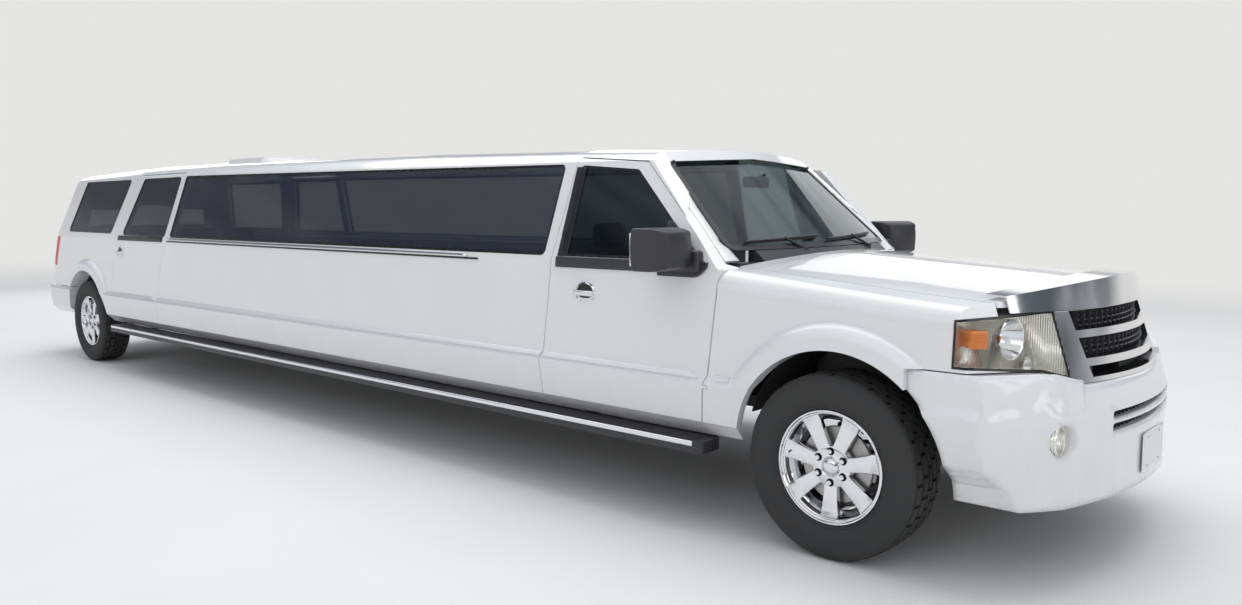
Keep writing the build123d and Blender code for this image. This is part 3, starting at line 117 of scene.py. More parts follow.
class LimousineSizes(bpy.types.PropertyGroup):
    """Sizes of the trim that a user may change."""

    tread_depth: length("Tread depth", "Height of the tyre's tread blocks", 0.009)
    seal_width: length("Window seal", "Width of the rubber round each side window", 0.014)
    screen_border: length("Screen border", "Width of the black border of the windscreen", 0.034)
    moulding_height: length("Belt moulding", "Height of the black strip under the door windows", 0.056)
    crease_height: length("Side crease", "Height of the raised line along the sides", 0.728)
    bumper_facet: length("Bumper mesh", "Longest edge of the front bumper's skin", 0.036)
    bumper_passes: count("Bumper smoothing", "How often the front bumper's skin is smoothed", 36, 0)
    spoke_count: count("Spokes", "Spokes of each wheel", 7, 3)
    lug_count: count("Lug nuts", "Nuts that hold each wheel", 6, 4)
    plate_width: length("Plate width", "Width of a blank number plate", 0.305)
    plate_height: length("Plate height", "Height of a blank number plate", 0.152)


def tint(name, description, colour):
    """A colour property with its default."""
    return bpy.props.FloatVectorProperty(
        name=name, description=description, subtype="COLOR", size=3, min=0.0, max=1.0, default=colour
    )


class LimousineColours(bpy.types.PropertyGroup):
    """Colours of the finishes that a user may change."""

    paint: tint("Paint", "Body colour", (0.80, 0.80, 0.81))
    road_film: tint("Road film", "Thin dust low on the body", (0.56, 0.54, 0.51))
    dark_glass: tint("Dark glass", "Tint of the long side windows", (0.0012, 0.0016, 0.0080))
    door_glass: tint("Door glass", "Tint of the front door windows", (0.055, 0.080, 0.088))
    screen_glass: tint("Screen glass", "Tint of the windscreen", (0.10, 0.135, 0.135))
    chrome: tint("Chrome", "Plated metal", (0.80, 0.81, 0.83))
    rubber: tint("Rubber", "Tyres and seals", (0.018, 0.018, 0.019))
    plastic: tint("Plastic", "Black trim", (0.022, 0.022, 0.024))
    leather: tint("Leather", "Seats", (0.055, 0.053, 0.055))
    amber: tint("Amber", "Turn signals", (0.86, 0.24, 0.02))
    red: tint("Red", "Tail lamps", (0.50, 0.012, 0.010))
    floor: tint("Floor", "Studio floor and backdrop", (0.80, 0.80, 0.79))


def sizes():
    """The sizes that the pieces are made from."""
    return bpy.context.scene.limousine_sizes


def colours():
    """The colours that the finishes are made from."""
    return bpy.context.scene.limousine_colours


# Materials
def principled(name, colour, roughness, metallic=0.0, **sockets):
    """A material with one Principled shader. Further sockets are given by name, with _ for a space."""
    material = bpy.data.materials.new(name)
    material.use_nodes = True
    shader = material.node_tree.nodes["Principled BSDF"]
    shader.inputs["Base Color"].default_value = (*colour, 1.0)
    shader.inputs["Roughness"].default_value = roughness
    shader.inputs["Metallic"].default_value = metallic
    for socket, value in sockets.items():
        shader.inputs[socket.replace("_", " ")].default_value = value
    return material


def parts_of(material):
    """The node tree's nodes, links and the shader."""
    tree = material.node_tree
    return tree.nodes, tree.links, tree.nodes["Principled BSDF"]


def span_node(nodes, from_low=0.0, from_high=1.0, to_low=0.0, to_high=1.0):
    """A Map Range node that takes one span of values to another."""
    made = nodes.new("ShaderNodeMapRange")
    sockets = ("From Min", "From Max", "To Min", "To Max")
    for socket, value in zip(sockets, (from_low, from_high, to_low, to_high)):
        made.inputs[socket].default_value = value
    return made


def pattern(material, kind, scale, detail=4.0, stretch=(1.0, 1.0, 1.0)):
    """A texture node that reads Object coordinates through a Mapping node."""
    nodes, links, _ = parts_of(material)
    place = nodes.new("ShaderNodeTexCoord")
    mapping = nodes.new("ShaderNodeMapping")
    mapping.inputs["Scale"].default_value = stretch
    links.new(place.outputs["Object"], mapping.inputs["Vector"])
    texture = nodes.new(kind)
    texture.inputs["Scale"].default_value = scale
    if "Detail" in texture.inputs:
        texture.inputs["Detail"].default_value = detail
    links.new(mapping.outputs["Vector"], texture.inputs["Vector"])
    return texture


def relief(material, texture, height, output=0):
    """Turn a texture into bump of the given height in metres, on top of any bump that is there."""
    nodes, links, shader = parts_of(material)
    bump = nodes.new("ShaderNodeBump")
    bump.inputs["Strength"].default_value = 1.0
    bump.inputs["Distance"].default_value = height
    links.new(texture.outputs[output], bump.inputs["Height"])
    if shader.inputs["Normal"].is_linked:
        links.new(shader.inputs["Normal"].links[0].from_socket, bump.inputs["Normal"])
    links.new(bump.outputs["Normal"], shader.inputs["Normal"])


def vary(material, texture, low, high, span=(0.35, 0.65)):
    """Let the base colour run between two colours along a texture."""
    nodes, links, shader = parts_of(material)
    ramp = nodes.new("ShaderNodeValToRGB")
    for stop, place, colour in zip(ramp.color_ramp.elements, span, (low, high)):
        stop.position = place
        stop.color = (*colour, 1.0)
    links.new(texture.outputs[0], ramp.inputs["Fac"])
    links.new(ramp.outputs["Color"], shader.inputs["Base Color"])
    return ramp


def gloss(material, texture, low, high):
    """Let the roughness run between two values along a texture."""
    nodes, links, shader = parts_of(material)
    span = span_node(nodes, to_low=low, to_high=high)
    links.new(texture.outputs[0], span.inputs["Value"])
    links.new(span.outputs["Result"], shader.inputs["Roughness"])


def toned(colour, factor):
    """A colour made lighter or darker."""
    return tuple(min(1.0, channel * factor) for channel in colour)


def paint_finish():
    """Gloss paint with a clear coat, faint orange peel and a thin road film low on the body."""
    tone = colours()
    clean_from, dusty_below, most_dust = 0.85, 0.35, 0.42
    material = principled("white_paint", tone.paint, 0.32, Coat_Weight=1.0, Coat_Roughness=0.04)
    nodes, links, shader = parts_of(material)
    clouds = pattern(material, NOISE, 2.2, 5.0)
    ramp = vary(material, clouds, toned(tone.paint, 0.975), tone.paint)
    place = nodes.new("ShaderNodeTexCoord")
    split = nodes.new("ShaderNodeSeparateXYZ")
    low = span_node(nodes, clean_from, dusty_below, to_high=most_dust)
    film = pattern(material, NOISE, 14.0, 8.0, (1.0, 1.0, 0.35))
    amount = nodes.new("ShaderNodeMath")
    amount.operation = "MULTIPLY"
    mix = nodes.new("ShaderNodeMix")
    mix.data_type = "RGBA"
    links.new(place.outputs["Object"], split.inputs["Vector"])
    links.new(split.outputs["Z"], low.inputs["Value"])
    links.new(low.outputs["Result"], amount.inputs[0])
    links.new(film.outputs[0], amount.inputs[1])
    links.new(amount.outputs["Value"], mix.inputs[0])
    links.new(ramp.outputs["Color"], mix.inputs[6])
    mix.inputs[7].default_value = (*tone.road_film, 1.0)
    links.new(mix.outputs[2], shader.inputs["Base Color"])
    relief(material, pattern(material, NOISE, 420.0, 1.0), 0.00002)
    return material


def glass_finish(name, colour, reflection_tint=(1.0, 1.0, 1.0)):
    """Clear tinted glass with a little dust in its gloss; sheen tints what it mirrors."""
    material = principled(name, colour, 0.0, Transmission_Weight=1.0, IOR=1.42, Specular_Tint=(*reflection_tint, 1.0))
    gloss(material, pattern(material, NOISE, 9.0, 6.0), 0.0, 0.035)
    return material


def chrome_finish():
    """Plated metal, faintly uneven."""
    material = principled("chrome", colours().chrome, 0.06, 1.0)
    smears = pattern(material, NOISE, 6.0, 6.0)
    gloss(material, smears, 0.03, 0.13)
    return material


def rubber_finish():
    """Tyre rubber, dusty in patches."""
    tone = colours().rubber
    material = principled("tyre_rubber", tone, 0.82, Specular_IOR_Level=0.30)
    dust = pattern(material, NOISE, 7.0, 8.0)
    vary(material, dust, toned(tone, 0.8), toned(tone, 1.7), (0.40, 0.75))
    relief(material, pattern(material, NOISE, 300.0, 3.0), 0.00012)
    return material


def plastic_finish():
    """Grained black plastic."""
    tone = colours().plastic
    material = principled("black_plastic", tone, 0.48)
    vary(material, pattern(material, NOISE, 5.0), tone, toned(tone, 1.6))
    relief(material, pattern(material, CELLS, 520.0), 0.00012)
    return material


def gloss_black_finish():
    """Smooth black enamel of window borders and seals."""
    material = principled("border_black", (0.008, 0.008, 0.009), 0.28)
    gloss(material, pattern(material, NOISE, 30.0), 0.20, 0.36)
    return material


def lens_finish(name, colour, clarity):
    """A moulded lamp lens with fine ribs."""
    material = principled(name, colour, 0.05, Transmission_Weight=clarity, IOR=1.45, Coat_Weight=0.6)
    ribs = pattern(material, WAVES, 46.0, 0.0, (0.0, 0.35, 1.0))
    ribs.bands_direction = "Z"
    relief(material, ribs, 0.0010)
    return material


def clear_lens_finish():
    """Smooth clear polycarbonate."""
    material = principled("clear_lens", (0.96, 0.97, 0.97), 0.0, Transmission_Weight=1.0, IOR=1.2)
    gloss(material, pattern(material, NOISE, 12.0), 0.0, 0.03)
    return material


def reflector_finish():
    """Bright metal film inside a lamp."""
    material = principled("lamp_reflector", (0.88, 0.87, 0.81), 0.20, 0.80)
    facets = pattern(material, WAVES, 34.0, 0.0)
    relief(material, facets, 0.0012)
    return material


def leather_finish():
    """Soft leather with its grain."""
    tone = colours().leather
    material = principled("leather", tone, 0.46, Sheen_Weight=0.12)
    vary(material, pattern(material, NOISE, 8.0, 6.0), toned(tone, 0.75), toned(tone, 1.35))
    relief(material, pattern(material, CELLS, 260.0), 0.00035)
    relief(material, pattern(material, NOISE, 40.0, 6.0), 0.0008)
    return material


def carpet_finish():
    """Cut-pile carpet."""
    material = principled("floor_carpet", (0.035, 0.034, 0.036), 0.95, Sheen_Weight=0.4)
    pile = pattern(material, NOISE, 420.0, 2.0)
    vary(material, pile, (0.020, 0.020, 0.021), (0.065, 0.063, 0.066))
    relief(material, pile, 0.0015)
    return material


def frame_finish():
    """Black chassis paint under a film of road dust."""
    material = principled("frame_black", (0.03, 0.03, 0.032), 0.55)
    dust = pattern(material, NOISE, 6.0, 9.0)
    vary(material, dust, (0.020, 0.020, 0.022), (0.085, 0.078, 0.070), (0.45, 0.75))
    relief(material, pattern(material, NOISE, 90.0, 5.0), 0.0004)
    return material


def iron_finish():
    """Rough cast iron with a bloom of rust."""
    material = principled("cast_iron", (0.16, 0.15, 0.14), 0.72, 0.7)
    rust = pattern(material, NOISE, 16.0, 9.0)
    vary(material, rust, (0.15, 0.145, 0.14), (0.20, 0.105, 0.060), (0.50, 0.78))
    relief(material, pattern(material, NOISE, 160.0, 6.0), 0.0006)
    return material


def steel_finish():
    """Turned or drawn bare steel, slightly stained."""
    material = principled("steel", (0.46, 0.45, 0.43), 0.34, 1.0)
    stain = pattern(material, NOISE, 11.0, 8.0)
    vary(material, stain, (0.50, 0.49, 0.47), (0.30, 0.24, 0.18), (0.48, 0.85))
    gloss(material, pattern(material, NOISE, 60.0, 4.0, (1.0, 1.0, 8.0)), 0.25, 0.48)
    return material


def plate_finish():
    """A blank reflective number plate."""
    material = principled("blank_plate", (0.74, 0.75, 0.75), 0.36)
    beads = pattern(material, CELLS, 700.0)
    vary(material, beads, (0.70, 0.71, 0.72), (0.78, 0.79, 0.79))
    relief(material, beads, 0.00006)
    return material


def backdrop_finish():
    """Pale floor that takes the shadow near the vehicle and melts into the backdrop further away."""
    tone = colours().floor
    squeeze = 0.6
    fade_from, fade_to = 5.0, 17.0
    material = principled("studio_floor", tone, 0.9)
    vary(material, pattern(material, NOISE, 1.2, 8.0), toned(tone, 0.985), tone)
    nodes, links, shader = parts_of(material)
    place = nodes.new("ShaderNodeTexCoord")
    mapping = nodes.new("ShaderNodeMapping")
    mapping.inputs["Location"].default_value = (-(cad_box[0].x + cad_box[1].x) / 2 * squeeze, 0.0, 0.0)
    mapping.inputs["Scale"].default_value = (squeeze, 1.0, 1.0)
    reach = nodes.new("ShaderNodeVectorMath")
    reach.operation = "LENGTH"
    fade = span_node(nodes, fade_from, fade_to)
    fade.interpolation_type = "SMOOTHSTEP"
    glow = nodes.new("ShaderNodeEmission")
    glow.inputs["Color"].default_value = (*BACKDROP, 1.0)
    mix = nodes.new("ShaderNodeMixShader")
    links.new(place.outputs["Object"], mapping.inputs["Vector"])
    links.new(mapping.outputs["Vector"], reach.inputs[0])
    links.new(reach.outputs["Value"], fade.inputs["Value"])
    links.new(fade.outputs["Result"], mix.inputs[0])
    links.new(shader.outputs["BSDF"], mix.inputs[1])
    links.new(glow.outputs["Emission"], mix.inputs[2])
    links.new(mix.outputs["Shader"], nodes["Material Output"].inputs["Surface"])
    return material


FINISHES = {
    "white_paint": paint_finish,
    # The long side windows mirror everything tinted navy: a painted reflection colour, not the glass's own
    # tint.
    "dark_glass": lambda: glass_finish("dark_glass", colours().dark_glass, (0.30, 0.36, 0.80)),
    "door_glass": lambda: glass_finish("door_glass", colours().door_glass),
    "screen_glass": lambda: glass_finish("screen_glass", colours().screen_glass),
    "chrome": chrome_finish,
    "tyre_rubber": rubber_finish,
    "black_plastic": plastic_finish,
    "border_black": gloss_black_finish,
    "red_lens": lambda: lens_finish("red_lens", colours().red, 0.35),
    "amber_lens": lambda: lens_finish("amber_lens", colours().amber, 0.30),
    "clear_lens": clear_lens_finish,
    "lamp_reflector": reflector_finish,
    "leather": leather_finish,
    "floor_carpet": carpet_finish,
    "frame_black": frame_finish,
    "cast_iron": iron_finish,
    "steel": steel_finish,
    "blank_plate": plate_finish,
    "studio_floor": backdrop_finish,
}
# Nodes that stay, by their finish
KEPT = {
    "white_paint": (
        "roof liftgate bonnet front_bumper rear_bumper body_side_left body_side_right quarter_panel_left "
        "quarter_panel_right fender_left fender_right front_door_left front_door_right rear_door_left "
        "rear_door_right"
    ),
    "dark_glass": "side_glass liftgate_glass rear_door_glass_left rear_door_glass_right",
    "door_glass": "front_door_glass_left front_door_glass_right",
    "screen_glass": "windscreen",
    "chrome": "grille hood_deflector",
    "black_plastic": "cowl nose_panel running_boards dashboard wheel_liners firewall",
    "red_lens": "tail_lamps",
    "clear_lens": "fog_lamps",
    "frame_black": "frame front_arms rear_axle driveline fuel_tank",
    "cast_iron": "engine knuckle_left knuckle_right",
    "steel": "exhaust",
    "leather": "divider",
    "floor_carpet": "floor",
}


def finish(name):
    """A finish by its name, made when it is first asked for."""
    return bpy.data.materials.get(name) or FINISHES[name]()


# Making and placing pieces
def link_object(name, data):
    """A new object in the scene."""
    made = bpy.data.objects.new(name, data)
    bpy.context.scene.collection.objects.link(made)
    return made


def add_piece(name, bm, finishes, body="root", replaces=(), smooth=38.0):
    """Put a finished bmesh into the scene as a piece that rides on a body; smooth is in degrees."""
    mesh = bpy.data.meshes.new(name)
    bm.to_mesh(mesh)
    bm.free()
    mesh.shade_smooth()
    mesh.set_sharp_from_angle(angle=math.radians(smooth))
    for finish_name in finishes:
        mesh.materials.append(finish(finish_name))
    piece = link_object(name, mesh)
    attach(piece, body)
    if replaces:
        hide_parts(*replaces)
    return piece


def merge(target, source, matrix=None):
    """Add one bmesh to another, moved by a matrix, and free it."""
    if matrix is not None:
        bmesh.ops.transform(source, matrix=matrix, verts=source.verts)
    scratch = bpy.data.meshes.new("scratch")
    source.to_mesh(scratch)
    source.free()
    target.from_mesh(scratch)
    bpy.data.meshes.remove(scratch)
    return target


def in_slot(bm, slot):
    """Give all faces of a bmesh one material slot."""
    for face in bm.faces:
        face.material_index = slot
    return bm


def bevel(bm, edges, offset, segments):
    """Round some edges off."""
    bmesh.ops.bevel(
        bm, geom=edges, offset=offset, affect="EDGES", segments=segments, profile=0.5, material=-1
    )


def extruded(bm, faces):
    """Extrude faces as one region, and give the verts of its new side."""
    made = bmesh.ops.extrude_face_region(bm, geom=faces)["geom"]
    return [item for item in made if isinstance(item, bmesh.types.BMVert)]


def block(low, high, edge=0.0, rounds=3, slot=0):
    """A box between two corners with rounded edges."""
    low, high = Vector(low), Vector(high)
    bm = bmesh.new()
    bmesh.ops.create_cube(bm, size=1.0)
    bmesh.ops.scale(bm, vec=high - low, verts=bm.verts)
    bmesh.ops.translate(bm, vec=(low + high) / 2, verts=bm.verts)
    if edge:
        bevel(bm, bm.edges[:], edge, rounds)
    return in_slot(bm, slot)


def spun(profile, steps=64, slot=0, closed=False):
    """A profile of (radius, distance along) turned round the Y axis."""
    bm = bmesh.new()
    verts = [bm.verts.new((radius, along, 0.0)) for radius, along in profile]
    pairs = list(zip(verts, verts[1:])) + ([(verts[-1], verts[0])] if closed else [])
    edges = [bm.edges.new(pair) for pair in pairs]
    bmesh.ops.spin(
        bm, geom=verts + edges, cent=(0, 0, 0), axis=(0, 1, 0), angle=math.tau, steps=steps, use_merge=True
    )
    bmesh.ops.remove_doubles(bm, verts=bm.verts, dist=DOUBLE)
    bmesh.ops.recalc_face_normals(bm, faces=bm.faces)
    return in_slot(bm, slot)


def rod(start, end, radius, segments=16, slot=0, far_radius=None):
    """A round rod between two points."""
    start, end = Vector(start), Vector(end)
    bm = bmesh.new()
    far = radius if far_radius is None else far_radius
    bmesh.ops.create_cone(
        bm, cap_ends=True, segments=segments, radius1=radius, radius2=far, depth=(end - start).length
    )
    turn = (end - start).to_track_quat("Z", "Y").to_matrix().to_4x4()
    bmesh.ops.transform(bm, matrix=Matrix.Translation((start + end) / 2) @ turn, verts=bm.verts)
    return in_slot(bm, slot)


def mirrored(bm):
    """The same bmesh on the other side of the vehicle."""
    copy = bm.copy()
    bmesh.ops.scale(copy, vec=(1, -1, 1), verts=copy.verts)
    bmesh.ops.reverse_faces(copy, faces=copy.faces)
    return copy


def door_turn():
    """How the left front door stands open: from its closed place to where it is at rest."""
    pivot = Vector(open_door["pos_m"])
    turn = Matrix.Rotation(math.radians(-open_door["range_deg"][0]), 4, Vector(open_door["axis"]))
    return Matrix.Translation(pivot) @ turn @ Matrix.Translation(-pivot)


def add_pair(name, bm, finishes, body="root", replaces=None, smooth=38.0):
    """A right-hand piece and its left-hand mirror image; those of the front doors follow the open door."""
    other = mirrored(bm)
    if body == "front_door":
        bmesh.ops.transform(other, matrix=door_turn(), verts=other.verts)
    for side, half in (("right", bm), ("left", other)):
        on = body if body == "root" else f"{body}_{side}"
        stands_for = (f"{replaces}_{side}",) if replaces else ()
        add_piece(f"{name}_{side}", half, finishes, on, stands_for, smooth)


def node_copy(name):
    """A copy of a node's mesh with its loose triangles joined."""
    bm = bmesh.new()
    bm.from_mesh(frame["nodes"][name].data)
    bmesh.ops.remove_doubles(bm, verts=bm.verts, dist=DOUBLE)
    return bm


def tree_of(*names):
    """A search tree of some nodes' meshes, for finding their skin."""
    bm = bmesh.new()
    for name in names:
        bm.from_mesh(frame["nodes"][name].data)
    tree = BVHTree.FromBMesh(bm)
    bm.free()
    return tree


def from_front(tree, y, z):
    """Where a level line from ahead of the vehicle first meets a skin."""
    return tree.ray_cast(Vector((AHEAD, y, z)), Vector((-1, 0, 0)))[0]


def from_right(tree, x, z):
    """Where a level line from the right of the vehicle first meets a skin."""
    return tree.ray_cast(Vector((x, BESIDE, z)), Vector((0, 1, 0)))[0]


def skin(tree, x, z):
    """Where the right-hand skin lies at a place in side view; past its edge, level with that edge."""
    return from_right(tree, x, z) or Vector((x, tree.find_nearest(Vector((x, -1.0, z)))[0].y, z))


def strip(tree, x_from, x_to, low, high, rise, steps=24, rows=2, edge=0.0):
    """A strip that follows the right-hand skin; low and high give its edges' heights at an x."""
    clear = Vector((0, -0.0008, 0))
    corner = 1.0
    bm = bmesh.new()
    bmesh.ops.create_grid(bm, x_segments=steps, y_segments=rows, size=0.5)
    for vert in bm.verts:
        x = x_from + (x_to - x_from) * (vert.co.x + 0.5)
        z = low(x) + (high(x) - low(x)) * (vert.co.y + 0.5)
        vert.co = skin(tree, x, z) + clear
    bmesh.ops.translate(bm, vec=(0, -rise, 0), verts=extruded(bm, bm.faces[:]))
    bmesh.ops.recalc_face_normals(bm, faces=bm.faces)
    if edge:
        bevel(bm, [e for e in bm.edges if e.calc_face_angle(0.0) > corner], edge, 2)
    return bm


def border(node, outward, width, rise, keep=None):
    """A raised band along the edge of a glass node's outer face."""
    facing, clear = 0.5, 0.0004
    bm = node_copy(node)
    hidden = [f for f in bm.faces if f.normal.dot(outward(f.calc_center_median())) < facing]
    bmesh.ops.delete(bm, geom=hidden, context="FACES")
    if keep:
        others = [f for f in bm.faces if not keep(f.calc_center_median())]
        bmesh.ops.delete(bm, geom=others, context="FACES")
    rim = set(bmesh.ops.inset_region(
        bm, faces=bm.faces[:], thickness=width, use_even_offset=True, use_boundary=True
    )["faces"])
    bmesh.ops.delete(bm, geom=[f for f in bm.faces if f not in rim], context="FACES")
    bmesh.ops.translate(bm, vec=outward(bm.faces[:][0].calc_center_median()) * clear, verts=bm.verts)
    bmesh.ops.solidify(bm, geom=bm.faces[:], thickness=-rise)
    return bm


def looking(place, direction):
    """The place and turn of something that looks along a direction."""
    return Matrix.Translation(place) @ direction.to_track_quat("-Z", "Y").to_matrix().to_4x4()


# Camera, light and floor
def build_stage():
    """A pale floor, soft lights and the photograph's camera."""
    floor_reach = 70.0
    scene = bpy.context.scene
    scene.view_settings.view_transform = "Standard"
    image_width = 1242.0
    focal_pixels = 957.7
    camera_place = Vector((1.995, -4.479, 1.500))
    yaw, pitch, roll = (math.radians(angle) for angle in (131.98, -5.68, 0.31))
    data = bpy.data.cameras.new("camera")
    data.sensor_fit = "HORIZONTAL"
    data.sensor_width = 36.0
    data.lens = focal_pixels / image_width * data.sensor_width
    camera = link_object("camera", data)
    forward = Vector((math.cos(pitch) * math.cos(yaw), math.cos(pitch) * math.sin(yaw), math.sin(pitch)))
    camera.matrix_world = looking(camera_place, forward) @ Matrix.Rotation(-roll, 4, "Z")
    scene.camera = camera

    # Lights: name, place, aim, width, length, watts
    middle = (cad_box[0].x + cad_box[1].x) / 2
    lights = [
        ("top_light", (middle, 0.8, 7.0), (middle, 0.0, 0.0), 15.0, 5.0, 330.0),
        ("side_light", (middle + 1.5, -9.0, 4.5), (middle, 0.0, 0.8), 15.0, 3.0, 150.0),
        ("front_light", (9.0, -2.0, 4.0), (0.0, 0.0, 0.7), 6.0, 3.0, 120.0),
        ("rear_light", (-17.0, 3.0, 4.0), (-9.0, 0.0, 0.9), 6.0, 3.0, 110.0),
        ("far_light", (middle, 9.5, 4.5), (middle, 0.0, 0.8), 15.0, 3.0, 150.0),
    ]
    for name, place, aim, width, length, watts in lights:
        lamp = bpy.data.lights.new(name, "AREA")
        lamp.shape = "RECTANGLE"
        lamp.size = width
        lamp.size_y = length
        lamp.energy = watts
        holder = link_object(name, lamp)
        holder.visible_camera = False
        holder.matrix_world = looking(place, Vector(aim) - Vector(place))

    bm = bmesh.new()
    bmesh.ops.create_grid(bm, x_segments=8, y_segments=8, size=floor_reach)
    mesh = bpy.data.meshes.new("floor_plane")
    bm.to_mesh(mesh)
    bm.free()
    mesh.materials.append(finish("studio_floor"))
    floor = link_object("floor_plane", mesh)
    build_world(scene)


def build_world(scene):
    """A soft studio sky: pale at the horizon, a dark band with torn edges above it, bright overhead."""
    world = bpy.data.worlds.new("studio")
    scene.world = world
    world.use_nodes = True
    nodes, links = world.node_tree.nodes, world.node_tree.links
    background = nodes["Background"]
    place = nodes.new("ShaderNodeTexCoord")
    split = nodes.new("ShaderNodeSeparateXYZ")
    mapping = nodes.new("ShaderNodeMapping")
    mapping.inputs["Scale"].default_value = (1.0, 1.0, 7.0)
    streaks = nodes.new(NOISE)
    streaks.inputs["Scale"].default_value = 2.6
    streaks.inputs["Detail"].default_value = 6.0
    shift = span_node(nodes, 0.3, 0.7, -0.13, 0.13)
    only_high = span_node(nodes, 0.06, 0.34)
    torn = nodes.new("ShaderNodeMath")
    torn.operation = "MULTIPLY_ADD"
    ramp = nodes.new("ShaderNodeValToRGB")
    # Sine of the elevation, and the colour there
    stops = [
        (0.00, BACKDROP),
        (0.10, BACKDROP),
        (0.17, (0.30, 0.31, 0.33)),
        (0.22, (0.09, 0.10, 0.11)),
        (0.44, (0.13, 0.15, 0.19)),
        (0.57, (0.50, 0.57, 0.68)),
        (0.72, (0.86, 0.88, 0.92)),
        (1.00, (0.92, 0.92, 0.92)),
    ]
    for end, stop in zip(ramp.color_ramp.elements, (stops[0], stops[-1])):
        end.color = (*stop[1], 1.0)
    for position, colour in stops[1:-1]:
        ramp.color_ramp.elements.new(position).color = (*colour, 1.0)
    links.new(place.outputs["Generated"], split.inputs["Vector"])
    links.new(place.outputs["Generated"], mapping.inputs["Vector"])
    links.new(mapping.outputs["Vector"], streaks.inputs["Vector"])
    links.new(streaks.outputs[0], shift.inputs["Value"])
    links.new(split.outputs["Z"], only_high.inputs["Value"])
    links.new(shift.outputs["Result"], torn.inputs[0])
    links.new(only_high.outputs["Result"], torn.inputs[1])
    links.new(split.outputs["Z"], torn.inputs[2])
    links.new(torn.outputs["Value"], ramp.inputs["Fac"])
    paths = nodes.new("ShaderNodeLightPath")
    seen = nodes.new("ShaderNodeMath")
    seen.operation = "MAXIMUM"
    plain = nodes.new("ShaderNodeMix")
    plain.data_type = "RGBA"
    plain.inputs[7].default_value = (*BACKDROP, 1.0)
    links.new(paths.outputs["Is Camera Ray"], seen.inputs[0])
    links.new(paths.outputs["Is Transmission Ray"], seen.inputs[1])
    links.new(seen.outputs["Value"], plain.inputs[0])
    links.new(ramp.outputs["Color"], plain.inputs[6])
    links.new(plain.outputs[2], background.inputs["Color"])
    background.inputs["Strength"].default_value = 1.0


def build_finishes():
    """Give every node that stays its finish."""
    for finish_name, names in KEPT.items():
        for name in names.split():
            data = frame["nodes"][name].data
            data.materials.clear()
            data.materials.append(finish(finish_name))


# Tyres and wheels
def tyre_mesh():
    """A tyre about the Y axis with ribs on its sidewall and a blocked road tread."""
    columns, pitch, stagger = 168, 6, 2
    crown_drop = 0.0035
    depth = sizes().tread_depth
    floor = tyre_radius - depth
    # Distances from the tyre's middle to the edges of its five rows of tread blocks
    row_edges = [0.012, 0.022, 0.058, 0.068, 0.104]
    middle, inner_low, inner_high, outer_low, outer_high = row_edges
    rows = [
        (outer_low, outer_high),
        (inner_low, inner_high),
        (-middle, middle),
        (-inner_high, -inner_low),
        (-outer_high, -outer_low),
    ]
    flank = [
        (lip_radius - 0.016, tyre_half - 0.0365),
        (lip_radius + 0.001, tyre_half - 0.0325),
        (lip_radius + 0.004, tyre_half - 0.026),
        (lip_radius + 0.012, tyre_half - 0.019),
        (lip_radius + 0.016, tyre_half - 0.0205),
        (lip_radius + 0.034, tyre_half - 0.009),
        (lip_radius + 0.056, tyre_half - 0.003),
        (lip_radius + 0.078, tyre_half),
        (lip_radius + 0.086, tyre_half - 0.0025),
        (lip_radius + 0.100, tyre_half - 0.003),
        (lip_radius + 0.108, tyre_half - 0.0015),
        (lip_radius + 0.124, tyre_half - 0.006),
        (floor - 0.006, tyre_half - 0.016),
        (floor - 0.001, tyre_half - 0.022),
    ]
    half = flank + [(floor + 0.001 - 0.02 * across, across) for across in reversed(row_edges)]
    bm = spun(half + [(radius, -across) for radius, across in reversed(half)], steps=columns, closed=True)
    chosen = []
    for face in bm.faces:
        centre = face.calc_center_median()
        if math.hypot(centre.x, centre.z) < floor - 0.004:
            continue
        turn = (math.atan2(centre.z, centre.x) / math.tau) % 1.0
        column = int(turn * columns)
        for number, (low, high) in enumerate(rows):
            if low < centre.y < high and (column + number * stagger) % pitch:
                chosen.append(face)
    for vert in extruded(bm, chosen):
        radius = math.hypot(vert.co.x, vert.co.z)
        crown = depth - crown_drop * (abs(vert.co.y) / outer_high) ** 2
        vert.co.x *= (radius + crown) / radius
        vert.co.z *= (radius + crown) / radius
    bmesh.ops.recalc_face_normals(bm, faces=bm.faces)
    return bm


def spoke_mesh(inner, outer, back, front):
    """One broad spoke along +X that widens towards the rim; it faces +Y."""
    narrow, widening, taper = 0.031, 0.013, 0.82
    dish, shoulder = 0.008, 0.006
    bm = bmesh.new()
    bmesh.ops.create_cube(bm, size=1.0)
    long_edges = [e for e in bm.edges if abs(e.verts[0].co.x - e.verts[1].co.x) > 0.5]
    bmesh.ops.subdivide_edges(bm, edges=long_edges, cuts=5)
    for vert in bm.verts:
        along = vert.co.x + 0.5
        half = narrow + widening * along**2
        face = front - dish * (1 - along) + (shoulder if along > 0.95 else 0.0)
        vert.co = Vector((
            inner + (outer - inner) * along,
            face if vert.co.y > 0 else back,
            vert.co.z * 2 * half * (1.0 if vert.co.y > 0 else taper),
        ))
    in_front = [e for e in bm.edges if all(v.co.y > back + 0.001 for v in e.verts)]
    bevel(bm, [e for e in in_front if e.calc_face_angle(0) > 0.7], 0.005, 3)
    return bm


